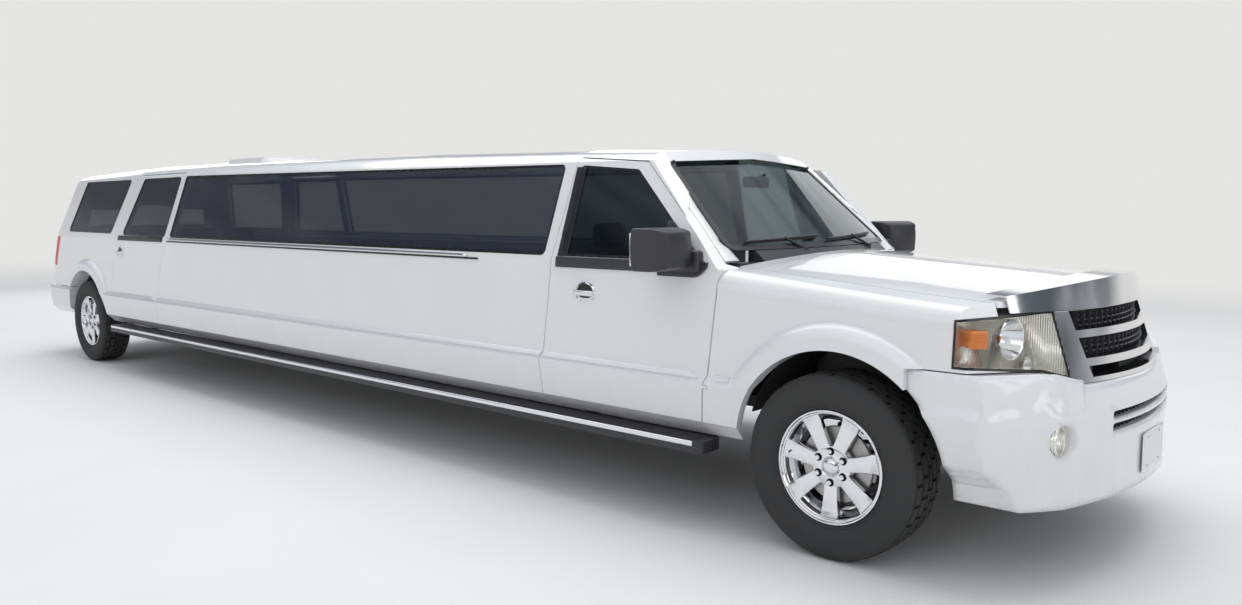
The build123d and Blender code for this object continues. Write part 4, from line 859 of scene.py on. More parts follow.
def wheel_mesh():
    """A plated wheel about the Y axis: rim, spokes, hub, lug nuts and cap. Its face looks along +Y."""
    seat = lip_radius - 0.017
    drop = lip_radius - 0.041
    face = rim_half - 0.018
    lug_circle = 0.0675
    rim = [
        (lip_radius - 0.002, rim_half), (lip_radius, rim_half - 0.002), (lip_radius, rim_half - 0.007),
        (seat, rim_half - 0.011), (seat, 0.062), (drop, 0.030), (drop, -0.020), (seat, -0.052),
        (seat, 0.011 - rim_half), (lip_radius, 0.007 - rim_half), (lip_radius, -rim_half),
        (seat - 0.010, -rim_half), (seat - 0.009, -0.060), (drop - 0.009, -0.024), (drop - 0.009, 0.034),
        (seat - 0.009, 0.066), (seat - 0.008, rim_half - 0.024), (seat - 0.003, rim_half - 0.016),
        (lip_radius - 0.012, rim_half - 0.010), (lip_radius - 0.008, rim_half - 0.001),
        (lip_radius - 0.005, rim_half),
    ]
    hub = [
        (0.0, face - 0.004), (0.040, face - 0.004), (0.046, face), (0.082, face), (0.089, face - 0.004),
        (0.092, face - 0.010), (0.092, rim_half - 0.056), (0.0, rim_half - 0.056),
    ]
    cap = [
        (0.0, face + 0.014), (0.018, face + 0.013), (0.030, face + 0.009), (0.036, face + 0.002),
        (0.037, face - 0.006), (0.0, face - 0.006),
    ]
    cap_ring = [(0.037, face - 0.002), (0.041, face + 0.003), (0.045, face - 0.002)]
    pocket = [(0.0, -0.001), (0.0145, -0.001), (0.016, 0.0012), (0.0175, 0.0), (0.018, -0.003)]
    bm = spun(rim, steps=112, closed=True)
    spokes = sizes().spoke_count
    for number in range(spokes):
        turn = Matrix.Rotation(math.radians(90) + math.tau * number / spokes, 4, "Y")
        merge(bm, spoke_mesh(0.066, seat - 0.004, rim_half - 0.052, rim_half - 0.012), turn)
    for profile, steps in ((hub, 64), (cap, 48), (cap_ring, 48)):
        merge(bm, spun(profile, steps))
    lugs = sizes().lug_count
    for number in range(lugs):
        angle = math.tau * (number + 0.5) / lugs
        centre = Vector((math.cos(angle), 0.0, math.sin(angle))) * lug_circle
        merge(bm, spun(pocket, 24, 1), Matrix.Translation(centre + Vector((0, face + 0.001, 0))))
        nut = rod(centre + Vector((0, face - 0.002, 0)), centre + Vector((0, face + 0.015, 0)), 0.0112, 6)
        bevel(nut, nut.edges[:], 0.0014, 2)
        merge(bm, nut)
    valve = Vector((0.205, rim_half - 0.030, 0.035))
    merge(bm, rod(valve, valve + Vector((-0.010, 0.026, 0)), 0.004, 12, 1))
    return bm


def disc_mesh():
    """A vented brake disc with its hat, behind the spokes."""
    back = rim_half - 0.092
    hat_radius, vent_depth, disc_radius = 0.083, 0.150, 0.165
    return spun([
        (0.0, rim_half - 0.060), (hat_radius - 0.003, rim_half - 0.060), (hat_radius, rim_half - 0.066),
        (hat_radius, back + 0.020), (disc_radius - 0.002, back + 0.020), (disc_radius, back + 0.018),
        (disc_radius, back + 0.012), (vent_depth, back + 0.012), (vent_depth, back + 0.008),
        (disc_radius, back + 0.008), (disc_radius, back + 0.002), (disc_radius - 0.002, back), (0.0, back),
    ], 96)


def build_wheels():
    """Tyres, plated wheels and brake discs in place of the plain ones."""
    for place, (x, side) in WHEELS.items():
        hub = Matrix.Translation((x, side * hub_side, hub_height))
        if side == RIGHT:
            hub = hub @ Matrix.Rotation(math.pi, 4, "Z")
        made = [
            ("road_tyre", tyre_mesh(), ["tyre_rubber"], (f"tyre_{place}",), 30.0),
            ("chrome_wheel", wheel_mesh(), ["chrome", "black_plastic"], (f"wheel_{place}",), 32.0),
            ("brake_disc", disc_mesh(), ["steel"], (), 38.0),
        ]
        for name, mesh, finishes, replaces, smooth in made:
            moved = merge(bmesh.new(), mesh, hub)
            add_piece(f"{name}_{place}", moved, finishes, f"wheel_{place}", replaces, smooth)


# Trim of the doors and windows
def build_window_trim():
    """Rubber seals round the side windows and the black border of windscreen and rear window."""
    width = sizes().seal_width
    seal_rise, border_rise = 0.004, 0.0035
    last_post = -7.0
    door_out = door_turn().to_3x3() @ Vector((0, 1, 0))

    def sideways(centre):
        return Vector((0, 1 if centre.y > 0 else -1, 0))

    def gate_out(_):
        return Vector((-0.88, 0, 0.47))

    def screen_out(_):
        return Vector((0.66, 0, 0.75))

    for name, ahead in (("long_seal", True), ("quarter_seal", False)):
        for side, sign in SIDES:
            def mine(c, a=ahead, s=sign):
                return (c.x > last_post) == a and c.y * s > 0

            band = border("side_glass", sideways, width, seal_rise, mine)
            add_piece(f"{name}_{side}", band, ["border_black"])
    doors = [
        ("rear_door", "right", sideways),
        ("rear_door", "left", sideways),
        ("front_door", "right", sideways),
        ("front_door", "left", lambda _: door_out),
    ]
    for door, side, outward in doors:
        band = border(f"{door}_glass_{side}", outward, width, seal_rise)
        add_piece(f"{door}_seal_{side}", band, ["border_black"], f"{door}_{side}")
    band = border("windscreen", screen_out, sizes().screen_border, border_rise)
    add_piece("screen_surround", band, ["border_black"])
    band = border("liftgate_glass", gate_out, 0.030, border_rise)
    add_piece("gate_glass_surround", band, ["border_black"], "liftgate")


def section(name, height):
    """Points where the right-hand side of a node is cut at a height."""
    bm = bmesh.new()
    bm.from_mesh(frame["nodes"][name].data)
    cut = bmesh.ops.bisect_plane(
        bm, geom=bm.verts[:] + bm.edges[:] + bm.faces[:], plane_co=(0, 0, height), plane_no=(0, 0, 1)
    )["geom_cut"]
    points = [item.co.copy() for item in cut if isinstance(item, bmesh.types.BMVert)]
    bm.free()
    return [point for point in points if point.y < -0.4 and point.x > -1.5]


def build_pillar_feet():
    """The feet of the windscreen pillars, between the glass and the edge of the front door."""
    foot, top, steps = 1.247, 1.604, 20
    lowest_glass = 1.30
    screen_slope = Vector((1.12, 0.0, -1.0))
    rows = []
    for number in range(steps + 1):
        height = foot + (top - foot) * number / steps
        inner = min(section("windscreen", max(height, lowest_glass)), key=lambda point: point.y)
        if height < lowest_glass:
            inner += screen_slope * (lowest_glass - height)
        beside = section("body_side_right", height) + section("front_door_right", height)
        rows.append((inner, max(beside, key=lambda point: point.x)))
    bm = bmesh.new()
    bmesh.ops.create_grid(bm, x_segments=steps, y_segments=5, size=0.5)
    for vert in bm.verts:
        inner, outer = rows[round((vert.co.x + 0.5) * steps)]
        across = vert.co.y + 0.5
        bulge = Vector((0.35, -0.5, 0.35)) * 0.030 * across * (1.0 - across)
        vert.co = inner.lerp(outer, 0.06 + 0.90 * across) + bulge
    bmesh.ops.translate(bm, vec=(-0.012, 0.020, -0.010), verts=extruded(bm, bm.faces[:]))
    bmesh.ops.recalc_face_normals(bm, faces=bm.faces)
    add_pair("pillar_foot", bm, ["white_paint"])


def build_belt_trim():
    """Black mouldings under the door windows, plated strips under the long windows, and post covers."""
    rise = sizes().moulding_height
    front_belt, rear_belt = 1.244, 1.262
    side = tree_of("body_side_right")
    front = tree_of("front_door_right", "front_door_glass_right")
    rear = tree_of("rear_door_right", "rear_door_glass_right")

    def level(height):
        return lambda x: height

    def rising(height):
        return lambda x: height + 0.0036 * (-2.4 - x)

    def sail_foot(x):
        return 1.172 + 0.050 * max(0.0, (x + 0.735) / 0.08) ** 2

    def sail_top(x):
        return front_belt + min(0.19, max(0.0, -0.675 - x) * 0.80)

    # Name, skin, from x to x, lower and upper edge, rise, steps along, rows, rounding, finish, body
    strips = [
        ("belt_moulding_front", front, -0.70, -1.655, level(front_belt - rise), level(front_belt),
         0.009, 30, 3, 0.003, "black_plastic", "front_door"),
        ("belt_moulding_rear", rear, -6.60, -7.58, level(rear_belt - rise * 0.8), level(rear_belt),
         0.008, 30, 3, 0.003, "black_plastic", "rear_door"),
        ("belt_strip_long", side, -2.40, -6.49, rising(1.218), rising(1.240),
         0.010, 60, 3, 0.003, "chrome", "root"),
        ("belt_rubber_long", side, -2.30, -6.50, rising(1.206), rising(1.217),
         0.006, 60, 2, 0.002, "border_black", "root"),
        ("front_post_cover", front, -1.585, -1.650, level(1.246), level(1.716),
         0.006, 6, 30, 0.002, "border_black", "front_door"),
        ("mirror_sail", front, -0.655, -0.950, sail_foot, sail_top,
         0.012, 22, 10, 0.003, "black_plastic", "front_door"),
    ]
    for name, tree, ahead, behind, low, high, proud, steps, rows, edge, finish_name, body in strips:
        band = strip(tree, ahead, behind, low, high, proud, steps, rows, edge)
        add_pair(name, band, [finish_name], body)


def build_side_creases():
    """The raised line along the doors and the long sides, above their ridge."""
    height = sizes().crease_height
    inset, shut_line, fender_reach = 0.008, 0.022, 0.100
    below, above, rise, sharpening = 0.016, 0.006, 0.0095, 0.0090
    spans = {}
    for door in ("front_door", "rear_door"):
        tree = tree_of(f"{door}_right")
        places = [-0.50 - 0.01 * number for number in range(760)]
        hits = [x for x in places if from_right(tree, x, height)]
        spans[door] = (max(hits) - inset, min(hits) + inset)
    front, rear = spans["front_door"], spans["rear_door"]
    runs = [
        ("door_crease_front", "front_door_right", front, "front_door"),
        ("door_crease_rear", "rear_door_right", rear, "rear_door"),
        ("side_crease", "body_side_right", (front[1] - shut_line, rear[0] + shut_line), "root"),
        ("fender_crease", "fender_right", (front[0] + fender_reach, front[0] + shut_line), "root"),
    ]
    for name, node, (ahead, behind), body in runs:
        steps = max(4, round((ahead - behind) / 0.08))
        line = strip(
            tree_of(node), ahead, behind, lambda x: height - below, lambda x: height + above, rise, steps
        )
        for vert in line.verts:
            if vert.co.z > height:
                vert.co.y += sharpening
        add_pair(name, line, ["white_paint"], body)


def handle_mesh(tree, x, z):
    """A pull handle over an oval cup, with its lock, in the right-hand skin."""
    oval, lock_x = 1.28, 0.050
    half, bow = 0.070, 0.012
    recess_shade_disc = [(0.0, 0.0015), (0.034, 0.0010), (0.046, -0.0015), (0.049, -0.006)]
    ring = [(0.047, 0.0), (0.050, 0.006), (0.055, 0.005), (0.058, -0.002)]
    place = Matrix.Translation(skin(tree, x, z))
    bm = bmesh.new()
    # The black oval disc is painted shade where a real handle has a recess; the ring round it is plated.
    for profile, steps, slot, proud in ((recess_shade_disc, 40, 1, 0.001), (ring, 48, 0, 0.0)):
        part = spun(profile, steps, slot)
        for vert in part.verts:
            vert.co.y = -vert.co.y - proud
            vert.co.x *= oval
        bmesh.ops.recalc_face_normals(part, faces=part.faces)
        merge(bm, part, place)
    pull = block((-half, -0.032, -0.015), (half, -0.016, 0.013), 0.0075, 4)
    for vert in pull.verts:
        vert.co.y += bow * (abs(vert.co.x) / half) ** 2
    merge(bm, pull, place)
    for end in (-0.058, 0.058):
        merge(bm, block((end - 0.012, -0.022, -0.012), (end + 0.012, 0.006, 0.011), 0.004, 2), place)
    merge(bm, rod((lock_x, 0.004, -0.030), (lock_x, -0.008, -0.030), 0.009, 20), place)
    return bm


def build_handles():
    """Door handles, and the one on the liftgate."""
    places = [("front_handle", "front_door", -1.435, 1.062), ("rear_handle", "rear_door", -7.505, 1.105)]
    for name, body, x, z in places:
        # The second finish is the black of the painted shade in the handles' recesses.
        add_pair(name, handle_mesh(tree_of(f"{body}_right"), x, z), ["chrome", "border_black"], body)
    gate_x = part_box("liftgate")[0].x
    bm = block((gate_x - 0.014, -0.42, 1.035), (gate_x + 0.030, 0.42, 1.090), 0.012, 4)
    merge(bm, block((gate_x - 0.018, -0.40, 1.052), (gate_x - 0.010, 0.40, 1.070), 0.003, 2, 1))
    add_piece("gate_garnish", bm, ["chrome", "black_plastic"], "liftgate")


def build_mirrors():
    """Black door mirrors with a silver strip, in place of the plain blocks."""
    barrel, pinch, flatten = 0.10, 0.17, 0.16
    lean = 0.060
    low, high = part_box("door_mirror_right")
    outer = low.y
    bm = bmesh.new()
    bmesh.ops.create_cube(bm, size=1.0)
    bmesh.ops.subdivide_edges(bm, edges=bm.edges[:], cuts=6, use_grid_fill=True)
    shell_low = Vector((low.x - 0.020, outer - 0.008, low.z))
    shell_high = Vector((high.x - 0.004, outer + 0.222, high.z + 0.014))
    middle = (shell_low + shell_high) / 2
    half = (shell_high - shell_low) / 2
    for vert in bm.verts:
        u, v, w = vert.co * 2
        ahead = max(0.0, u) ** 2
        vert.co = middle + Vector((
            u * half.x * (1.0 - barrel * v * v - barrel * w * w),
            v * half.y * (1.0 - pinch * ahead),
            w * half.z * (1.0 - flatten * ahead),
        ))
    bevel(bm, [e for e in bm.edges if e.calc_face_angle(0.0) > 0.9], 0.014, 4)
    arm = block((-0.800, outer + 0.190, low.z - 0.004), (-0.728, -0.916, low.z + 0.082), 0.018, 4)
    for vert in arm.verts:
        vert.co.x += lean * (vert.co.y + 1.0)
    foot = block((-0.842, -0.966, low.z - 0.012), (-0.690, -0.912, low.z + 0.094), 0.018, 4)
    silver = block((-0.782, outer + 0.206, low.z + 0.078), (-0.742, -0.952, low.z + 0.088), 0.003, 2, 1)
    glass_low = (low.x - 0.025, outer + 0.016, low.z + 0.022)
    glass = block(glass_low, (low.x - 0.016, outer + 0.196, high.z - 0.010), 0.003, 2, 2)
    for part in (arm, foot, silver, glass):
        merge(bm, part)
    finishes = ["black_plastic", "chrome", "lamp_reflector"]
    add_pair("mirror_shell", bm, finishes, "front_door", "door_mirror", 50.0)


# Front end
def build_grille_trim():
    """A dark mesh of uprights and bars inside the grille's openings."""
    low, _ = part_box("grille")
    tree = tree_of("nose_panel")
    pitch, columns = 0.046, 9
    upright_half, upright_tall, upright_deep = 0.002, 0.036, 0.030
    bar_half, bar_from, bar_deep = 0.003, 0.022, 0.012

    def back(y, z):
        hit = from_front(tree, y, z)
        return hit.x if hit else low.x

    bm = bmesh.new()
    for z in (0.842, 0.934, 1.038):
        for part in range(-columns, columns + 1):
            y = part * pitch
            x = back(y, z) + 0.003
            corner = (x, y - upright_half, z - upright_tall)
            merge(bm, block(corner, (x + upright_deep, y + upright_half, z + upright_tall)))
    for z in (0.832, 0.852, 0.916, 0.935, 0.954, 1.018, 1.038, 1.058):
        for part in range(-columns, columns):
            y, y_next = part * pitch, (part + 1) * pitch
            x = min(back(y, z), back(y_next, z)) + bar_from
            merge(bm, block((x, y, z - bar_half), (x + bar_deep, y_next, z + bar_half)))
    add_piece("grille_mesh", bm, ["black_plastic"])


def build_headlamps():
    """Headlamps: a clear lens over a round reflector, a small lower lamp and an amber signal."""
    skin_tree = tree_of("headlamps")
    facing_front = Matrix.Rotation(math.radians(-90), 4, "Z")
    toe_out = math.radians(12)
    bowl = [
        (0.0, -0.075), (0.020, -0.072), (0.045, -0.055), (0.064, -0.028), (0.076, 0.0), (0.080, 0.002),
        (0.081, -0.004),
    ]
    lower_bowl = [(0.0, -0.040), (0.020, -0.034), (0.034, -0.014), (0.040, 0.0), (0.043, 0.0)]
    bowl_y, bowl_z = 0.752, 0.985
    signal_y, signal_z, signal_slope = 0.905, 0.992, math.atan2(0.31 - 0.20, 0.12)

    def is_skin(face):
        sideways = face.normal.y * face.calc_center_median().y > 0
        return face.normal.x > 0.25 or (abs(face.normal.y) > 0.75 and sideways)

    # The lens is the node's outer skin, and the housing is the rest, so it is open at the front
    housing = node_copy("headlamps")
    lens = housing.copy()
    bmesh.ops.delete(lens, geom=[f for f in lens.faces if not is_skin(f)], context="FACES")
    bmesh.ops.solidify(lens, geom=lens.faces[:], thickness=0.0025)
    bmesh.ops.delete(housing, geom=[f for f in housing.faces if is_skin(f)], context="FACES")
    bmesh.ops.solidify(housing, geom=housing.faces[:], thickness=0.003)
    in_slot(housing, 0)
    add_piece("headlamp_lens", lens, ["clear_lens"], "root", ("headlamps",), 30.0)

    for side in (RIGHT, LEFT):
        front = from_front(skin_tree, side * bowl_y, bowl_z).x
        centre = Vector((front - 0.026, side * bowl_y, bowl_z))
        aim = Matrix.Translation(centre) @ Matrix.Rotation(side * toe_out, 4, "Z")
        merge(housing, spun(bowl, 48, 1), aim @ facing_front)
        merge(housing, rod((-0.070, 0, 0), (-0.020, 0, 0), 0.012, 20, 1, 0.010), aim)
        below = Matrix.Translation(centre + Vector((0.030, -side * 0.085, -0.115)))
        merge(housing, spun(lower_bowl, 36, 1), below @ facing_front)
        x = from_front(skin_tree, side * 0.880, 0.990).x
        amber = block((x - 0.150, -0.044, -0.034), (x + 0.022, 0.026, 0.036), 0.008, 3, 2)
        place = Matrix.Translation((x, side * signal_y, signal_z))
        sloped = Matrix.Rotation(side * signal_slope, 4, "Z") @ Matrix.Translation((-x, 0, 0))
        merge(housing, amber, place @ sloped)
    for name, side in SIDES:
        facing = Vector((0.68, side * 0.68, 0.28)).normalized()
        rim = border("headlamps", lambda _, f=facing: f, 0.008, 0.002, lambda c, s=side: c.y * s > 0)
        add_piece(f"lamp_rim_{name}", rim, ["border_black"])
    add_piece("headlamp_inside", housing, ["lamp_reflector", "chrome", "amber_lens"], "root", (), 30.0)


def fog_lamp_place():
    """Where the left fog lamp's centre is, sideways and in height."""
    low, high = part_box("fog_lamps")
    return high.y - FOG_RADIUS, (low.z + high.z) / 2


def build_bumper_skin():
    """The front bumper with its facets smoothed out, in place of the plain one."""
    rounds, spare, crease = 7, 1.6 * FOG_RADIUS, math.radians(42)
    bm = node_copy("front_bumper")
    longest = sizes().bumper_facet
    for _ in range(rounds):
        long_edges = [edge for edge in bm.edges if edge.calc_length() > longest]
        if not long_edges:
            break
        bmesh.ops.subdivide_edges(bm, edges=long_edges, cuts=1)
        bmesh.ops.triangulate(bm, faces=[face for face in bm.faces if len(face.verts) > 3])
    lamp_side, lamp_height = fog_lamp_place()
    outside = []
    for vert in bm.verts:
        if math.hypot(abs(vert.co.y) - lamp_side, vert.co.z - lamp_height) < spare:
            continue
        facing = all(face.normal.x > 0.10 or abs(face.normal.y) > 0.45 for face in vert.link_faces)
        away = vert.normal.x * vert.co.x + vert.normal.y * vert.co.y > 0
        soft = all(abs(edge.calc_face_angle(0.0)) < crease for edge in vert.link_edges)
        if facing and away and soft:
            outside.append(vert)
    for _ in range(sizes().bumper_passes):
        bmesh.ops.smooth_vert(
            bm, verts=outside, factor=0.5, use_axis_x=True, use_axis_y=True, use_axis_z=False
        )
    add_piece("bumper_skin", bm, ["white_paint"], "root", ("front_bumper",), 34.0)


def plate_mesh():
    """A blank plate in its frame, with four screws. It faces +X."""
    half, tall = sizes().plate_width / 2, sizes().plate_height / 2
    border_width, screw_y, screw_z = 0.008, 0.089, 0.0605
    bm = block((-0.001, -half, -tall), (0.001, half, tall), 0.0008, 1)
    wide, high = half + border_width, tall + border_width
    merge(bm, block((-0.003, -wide, -high), (0.0005, wide, high), 0.002, 2, 1))
    for y in (-screw_y, screw_y):
        for z in (-screw_z, screw_z):
            merge(bm, rod((0.0, y, z), (0.004, y, z), 0.007, 16, 2, 0.005))
    wide, high = half - border_width, tall - border_width
    merge(bm, block((0.0008, -wide, -high), (0.0016, wide, high), 0.0005, 1))
    return bm


def build_bumper_trim():
    """Fog lamps' reflectors, slats in the lower air slots, and the blank number plates."""
    lamp_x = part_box("fog_lamps")[1].x
    lamp_side, lamp_height = fog_lamp_place()
    bowl = [
        (0.0, -0.046), (0.026, -0.040), (0.044, -0.018), (0.050, 0.001), (0.057, 0.003), (0.0605, 0.0),
        (0.0605, -0.05),
    ]
    bm = bmesh.new()
    for side in (RIGHT, LEFT):
        place = Matrix.Translation((lamp_x, side * lamp_side, lamp_height))
        merge(bm, spun(bowl, 48), place @ Matrix.Rotation(math.radians(-90), 4, "Z"))
    add_piece("fog_reflectors", bm, ["lamp_reflector"])

    slats = bmesh.new()
    pitch, columns, bend = 0.041, 10, 0.20
    for z in (0.622, 0.672):
        for part in range(-columns, columns + 1):
            y = part * pitch
            x = 0.955 - bend * y * y
            merge(slats, block((x - 0.02, y - 0.003, z - 0.018), (x + 0.006, y + 0.003, z + 0.018), 0.001, 1))
        merge(slats, block((0.885, -0.424, z - 0.019), (0.900, 0.424, z + 0.019)))
    add_piece("bumper_slats", slats, ["black_plastic"])

    front_z, rear_z, stand_off = 0.473, 0.900, 0.004
    front_x = from_front(tree_of("front_bumper"), 0.0, front_z).x + stand_off
    rear_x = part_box("liftgate")[0].x - stand_off
    half_turn = Matrix.Rotation(math.pi, 4, "Z")
    places = [
        ("front_plate", Matrix.Translation((front_x, 0, front_z)), "root"),
        ("rear_plate", Matrix.Translation((rear_x, 0, rear_z)) @ half_turn, "liftgate"),
    ]
    for name, place, body in places:
        add_piece(name, merge(bmesh.new(), plate_mesh(), place), ["blank_plate", "chrome", "steel"], body)


def build_wipers():
    """Two wipers that rest along the foot of the windscreen."""
    tree = tree_of("windscreen")
    steps = 6
    foot, climb = 1.318, 0.018
    lift = Vector((0.004, 0, 0.009))

    def on_glass(y, z):
        return from_front(tree, y, z) + Vector((0.004, 0, 0.005))

    bm = bmesh.new()
    for y_from, y_to, pivot_y in ((-0.66, -0.09, -0.26), (-0.02, 0.58, 0.40)):
        shares = [number / steps for number in range(steps + 1)]
        line = [on_glass(y_from + (y_to - y_from) * share, foot + climb * share) for share in shares]
        for start, end in zip(line, line[1:]):
            merge(bm, rod(start, end, 0.0045, 8))
            merge(bm, rod(start + lift, end + lift, 0.0055, 8))
        middle = line[steps // 2] + Vector((0.006, 0, 0.014))
        pivot = Vector((-0.545, pivot_y, 1.262))
        merge(bm, rod(pivot, pivot + Vector((0.0, 0.0, 0.030)), 0.016, 20))
        merge(bm, rod(pivot + Vector((0, 0, 0.022)), middle, 0.009, 10, 0, 0.006))
    add_piece("wipers", bm, ["black_plastic"])


# Running boards and tail
def build_board_trim():
    """Bright strips and tread ribs on the running boards."""
    low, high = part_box("running_boards")
    step_x, end_inset, rib_inset = -3.0, 0.05, 0.07
    rib_count, rib_pitch, rib_half = 7, 0.016, 0.004
    above = Vector((step_x, low.y + 0.02, ABOVE))
    top = tree_of("running_boards").ray_cast(above, Vector((0, 0, -1)))[0].z
    corner = (low.x + end_inset, low.y - 0.004, top - 0.024)
    bright = block(corner, (high.x - end_inset, low.y + 0.012, top + 0.001), 0.006)
    add_pair("board_strip", bright, ["chrome"])
    ribs = bmesh.new()
    for row in range(rib_count):
        y = low.y + 0.024 + row * rib_pitch
        corner = (low.x + rib_inset, y - rib_half, top - 0.001)
        merge(ribs, block(corner, (high.x - rib_inset, y + rib_half, top + 0.004), 0.001, 1))
    add_pair("board_ribs", ribs, ["black_plastic"])


def build_tail_trim():
    """High brake lamp, rear wiper, bumper pad and reflectors."""
    gate = tree_of("liftgate", "liftgate_glass")

    def tail(y, z):
        return gate.ray_cast(Vector((BEHIND, y, z)), Vector((1, 0, 0)))[0].x

    x = tail(0.0, 1.820)
    lamp = block((x - 0.010, -0.17, 1.806), (x + 0.02, 0.17, 1.832), 0.005)
    add_piece("high_brake_lamp", lamp, ["red_lens"], "liftgate")

    off_glass = 0.012
    start = Vector((tail(0.0, 1.285) - off_glass, 0.0, 1.285))
    end = Vector((tail(-0.34, 1.330) - off_glass, -0.34, 1.330))
    arm = rod(start, end, 0.007, 12)
    merge(arm, rod(start + Vector((0.03, 0, 0)), start - Vector((0.010, 0, 0)), 0.020, 24))
    blade = (end - start).normalized() * 0.20
    merge(arm, rod(end - blade, end + blade * 0.8, 0.006, 10))
    add_piece("rear_wiper", arm, ["black_plastic"], "liftgate")

    low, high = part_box("rear_bumper")
    rib_count, rib_pitch, rib_half = 25, 0.05, 0.006
    pad = block((low.x + 0.022, -0.62, high.z - 0.002), (low.x + 0.085, 0.62, high.z + 0.005), 0.003, 2)
    for number in range(rib_count):
        y = -0.60 + number * rib_pitch
        corner = (low.x + 0.028, y - rib_half, high.z + 0.004)
        merge(pad, block(corner, (low.x + 0.080, y + rib_half, high.z + 0.008), 0.001, 1))
    add_piece("step_pad", pad, ["black_plastic"])

    markers = bmesh.new()
    for y in (-0.70, 0.70):
        merge(markers, block((low.x + 0.006, y - 0.045, 0.560), (low.x + 0.020, y + 0.045, 0.590), 0.004, 2))
    add_piece("rear_reflectors", markers, ["red_lens"])


# Cabin
def pad_mesh(low, high, channels, rows, crown, cell):
    """A padded block, its seams pulled in and its panels swollen; u runs along its length."""
    low, high = Vector(low), Vector(high)
    size = high - low
    bm = bmesh.new()
    bmesh.ops.create_cube(bm, size=1.0)
    bmesh.ops.scale(bm, vec=size, verts=bm.verts)
    for axis in range(3):
        count = max(2, round(size[axis] / cell))
        for number in range(1, count):
            normal = Vector((0, 0, 0))
            normal[axis] = 1.0
            bmesh.ops.bisect_plane(
                bm, geom=bm.verts[:] + bm.edges[:] + bm.faces[:],
                plane_co=normal * (size[axis] * (number / count - 0.5)), plane_no=normal
            )
    half = size / 2
    thin = min(range(3), key=lambda axis: size[axis])
    long_axis, wide_axis = [axis for axis in range(3) if axis != thin]
    rounding = size[thin] * 0.45
    fullness, seam_pull = 0.6, 1.5
    for vert in bm.verts:
        inner = Vector([max(-(half[a] - rounding), min(half[a] - rounding, vert.co[a])) for a in range(3)])
        offset = vert.co - inner
        if offset.length > rounding:
            vert.co = inner + offset.normalized() * rounding
        u = vert.co[long_axis] / size[long_axis] + 0.5
        v = vert.co[wide_axis] / size[wide_axis] + 0.5
        waves = abs(math.sin(math.pi * channels * u)) ** fullness
        waves *= abs(math.sin(math.pi * rows * v)) ** fullness
        reach = vert.co[thin] / half[thin]
        vert.co[thin] += (crown * waves - crown) * (1 if reach > 0 else -1) * min(1.0, abs(reach) * seam_pull)
    bmesh.ops.smooth_vert(bm, verts=bm.verts, factor=0.35, use_axis_x=True, use_axis_y=True, use_axis_z=True)
    bmesh.ops.translate(bm, vec=(low + high) / 2, verts=bm.verts)
    return bm


def swell(piece):
    """Blow a pad up with cloth pressure, then cap how far a point may move."""
    frames, cap = 14, 0.016
    rest = [vert.co.copy() for vert in piece.data.vertices]
    cloth = piece.modifiers.new("cloth", "CLOTH")
    cloth.settings.quality = 4
    cloth.settings.mass = 0.3
    cloth.settings.use_pressure = True
    cloth.settings.uniform_pressure_force = 4.0
    cloth.settings.tension_stiffness = 40.0
    cloth.settings.compression_stiffness = 40.0
    cloth.settings.effector_weights.gravity = 0.0
    cloth.collision_settings.use_collision = False
    scene = bpy.context.scene
    for number in range(1, frames + 1):
        scene.frame_set(number)
    shaped = piece.evaluated_get(bpy.context.evaluated_depsgraph_get())
    places = [vert.co.copy() for vert in shaped.data.vertices]
    piece.modifiers.remove(cloth)
    scene.frame_set(1)
    for vert, start, place in zip(piece.data.vertices, rest, places):
        move = place - start
        vert.co = start + move * min(1.0, cap / max(move.length, 1e-9))


def add_pad(name, parts, replaces, cell=0.03):
    """A padded piece made of pads, each (low, high, channels, rows, lean), swollen by pressure."""
    crown = 0.010
    bm = bmesh.new()
    for low, high, channels, rows, lean in parts:
        pad = pad_mesh(low, high, channels, rows, crown, cell)
        if lean:
            foot = Vector(((low[0] + high[0]) / 2, 0, low[2]))
            turn = Matrix.Translation(foot) @ Matrix.Rotation(lean, 4, "Y") @ Matrix.Translation(-foot)
            bmesh.ops.transform(pad, matrix=turn, verts=pad.verts)
        merge(bm, pad)
    piece = add_piece(name, bm, ["leather"], "root", replaces, 60.0)
    swell(piece)
    smooth = piece.modifiers.new("smooth", "SUBSURF")
    smooth.levels = 1
    smooth.render_levels = 1


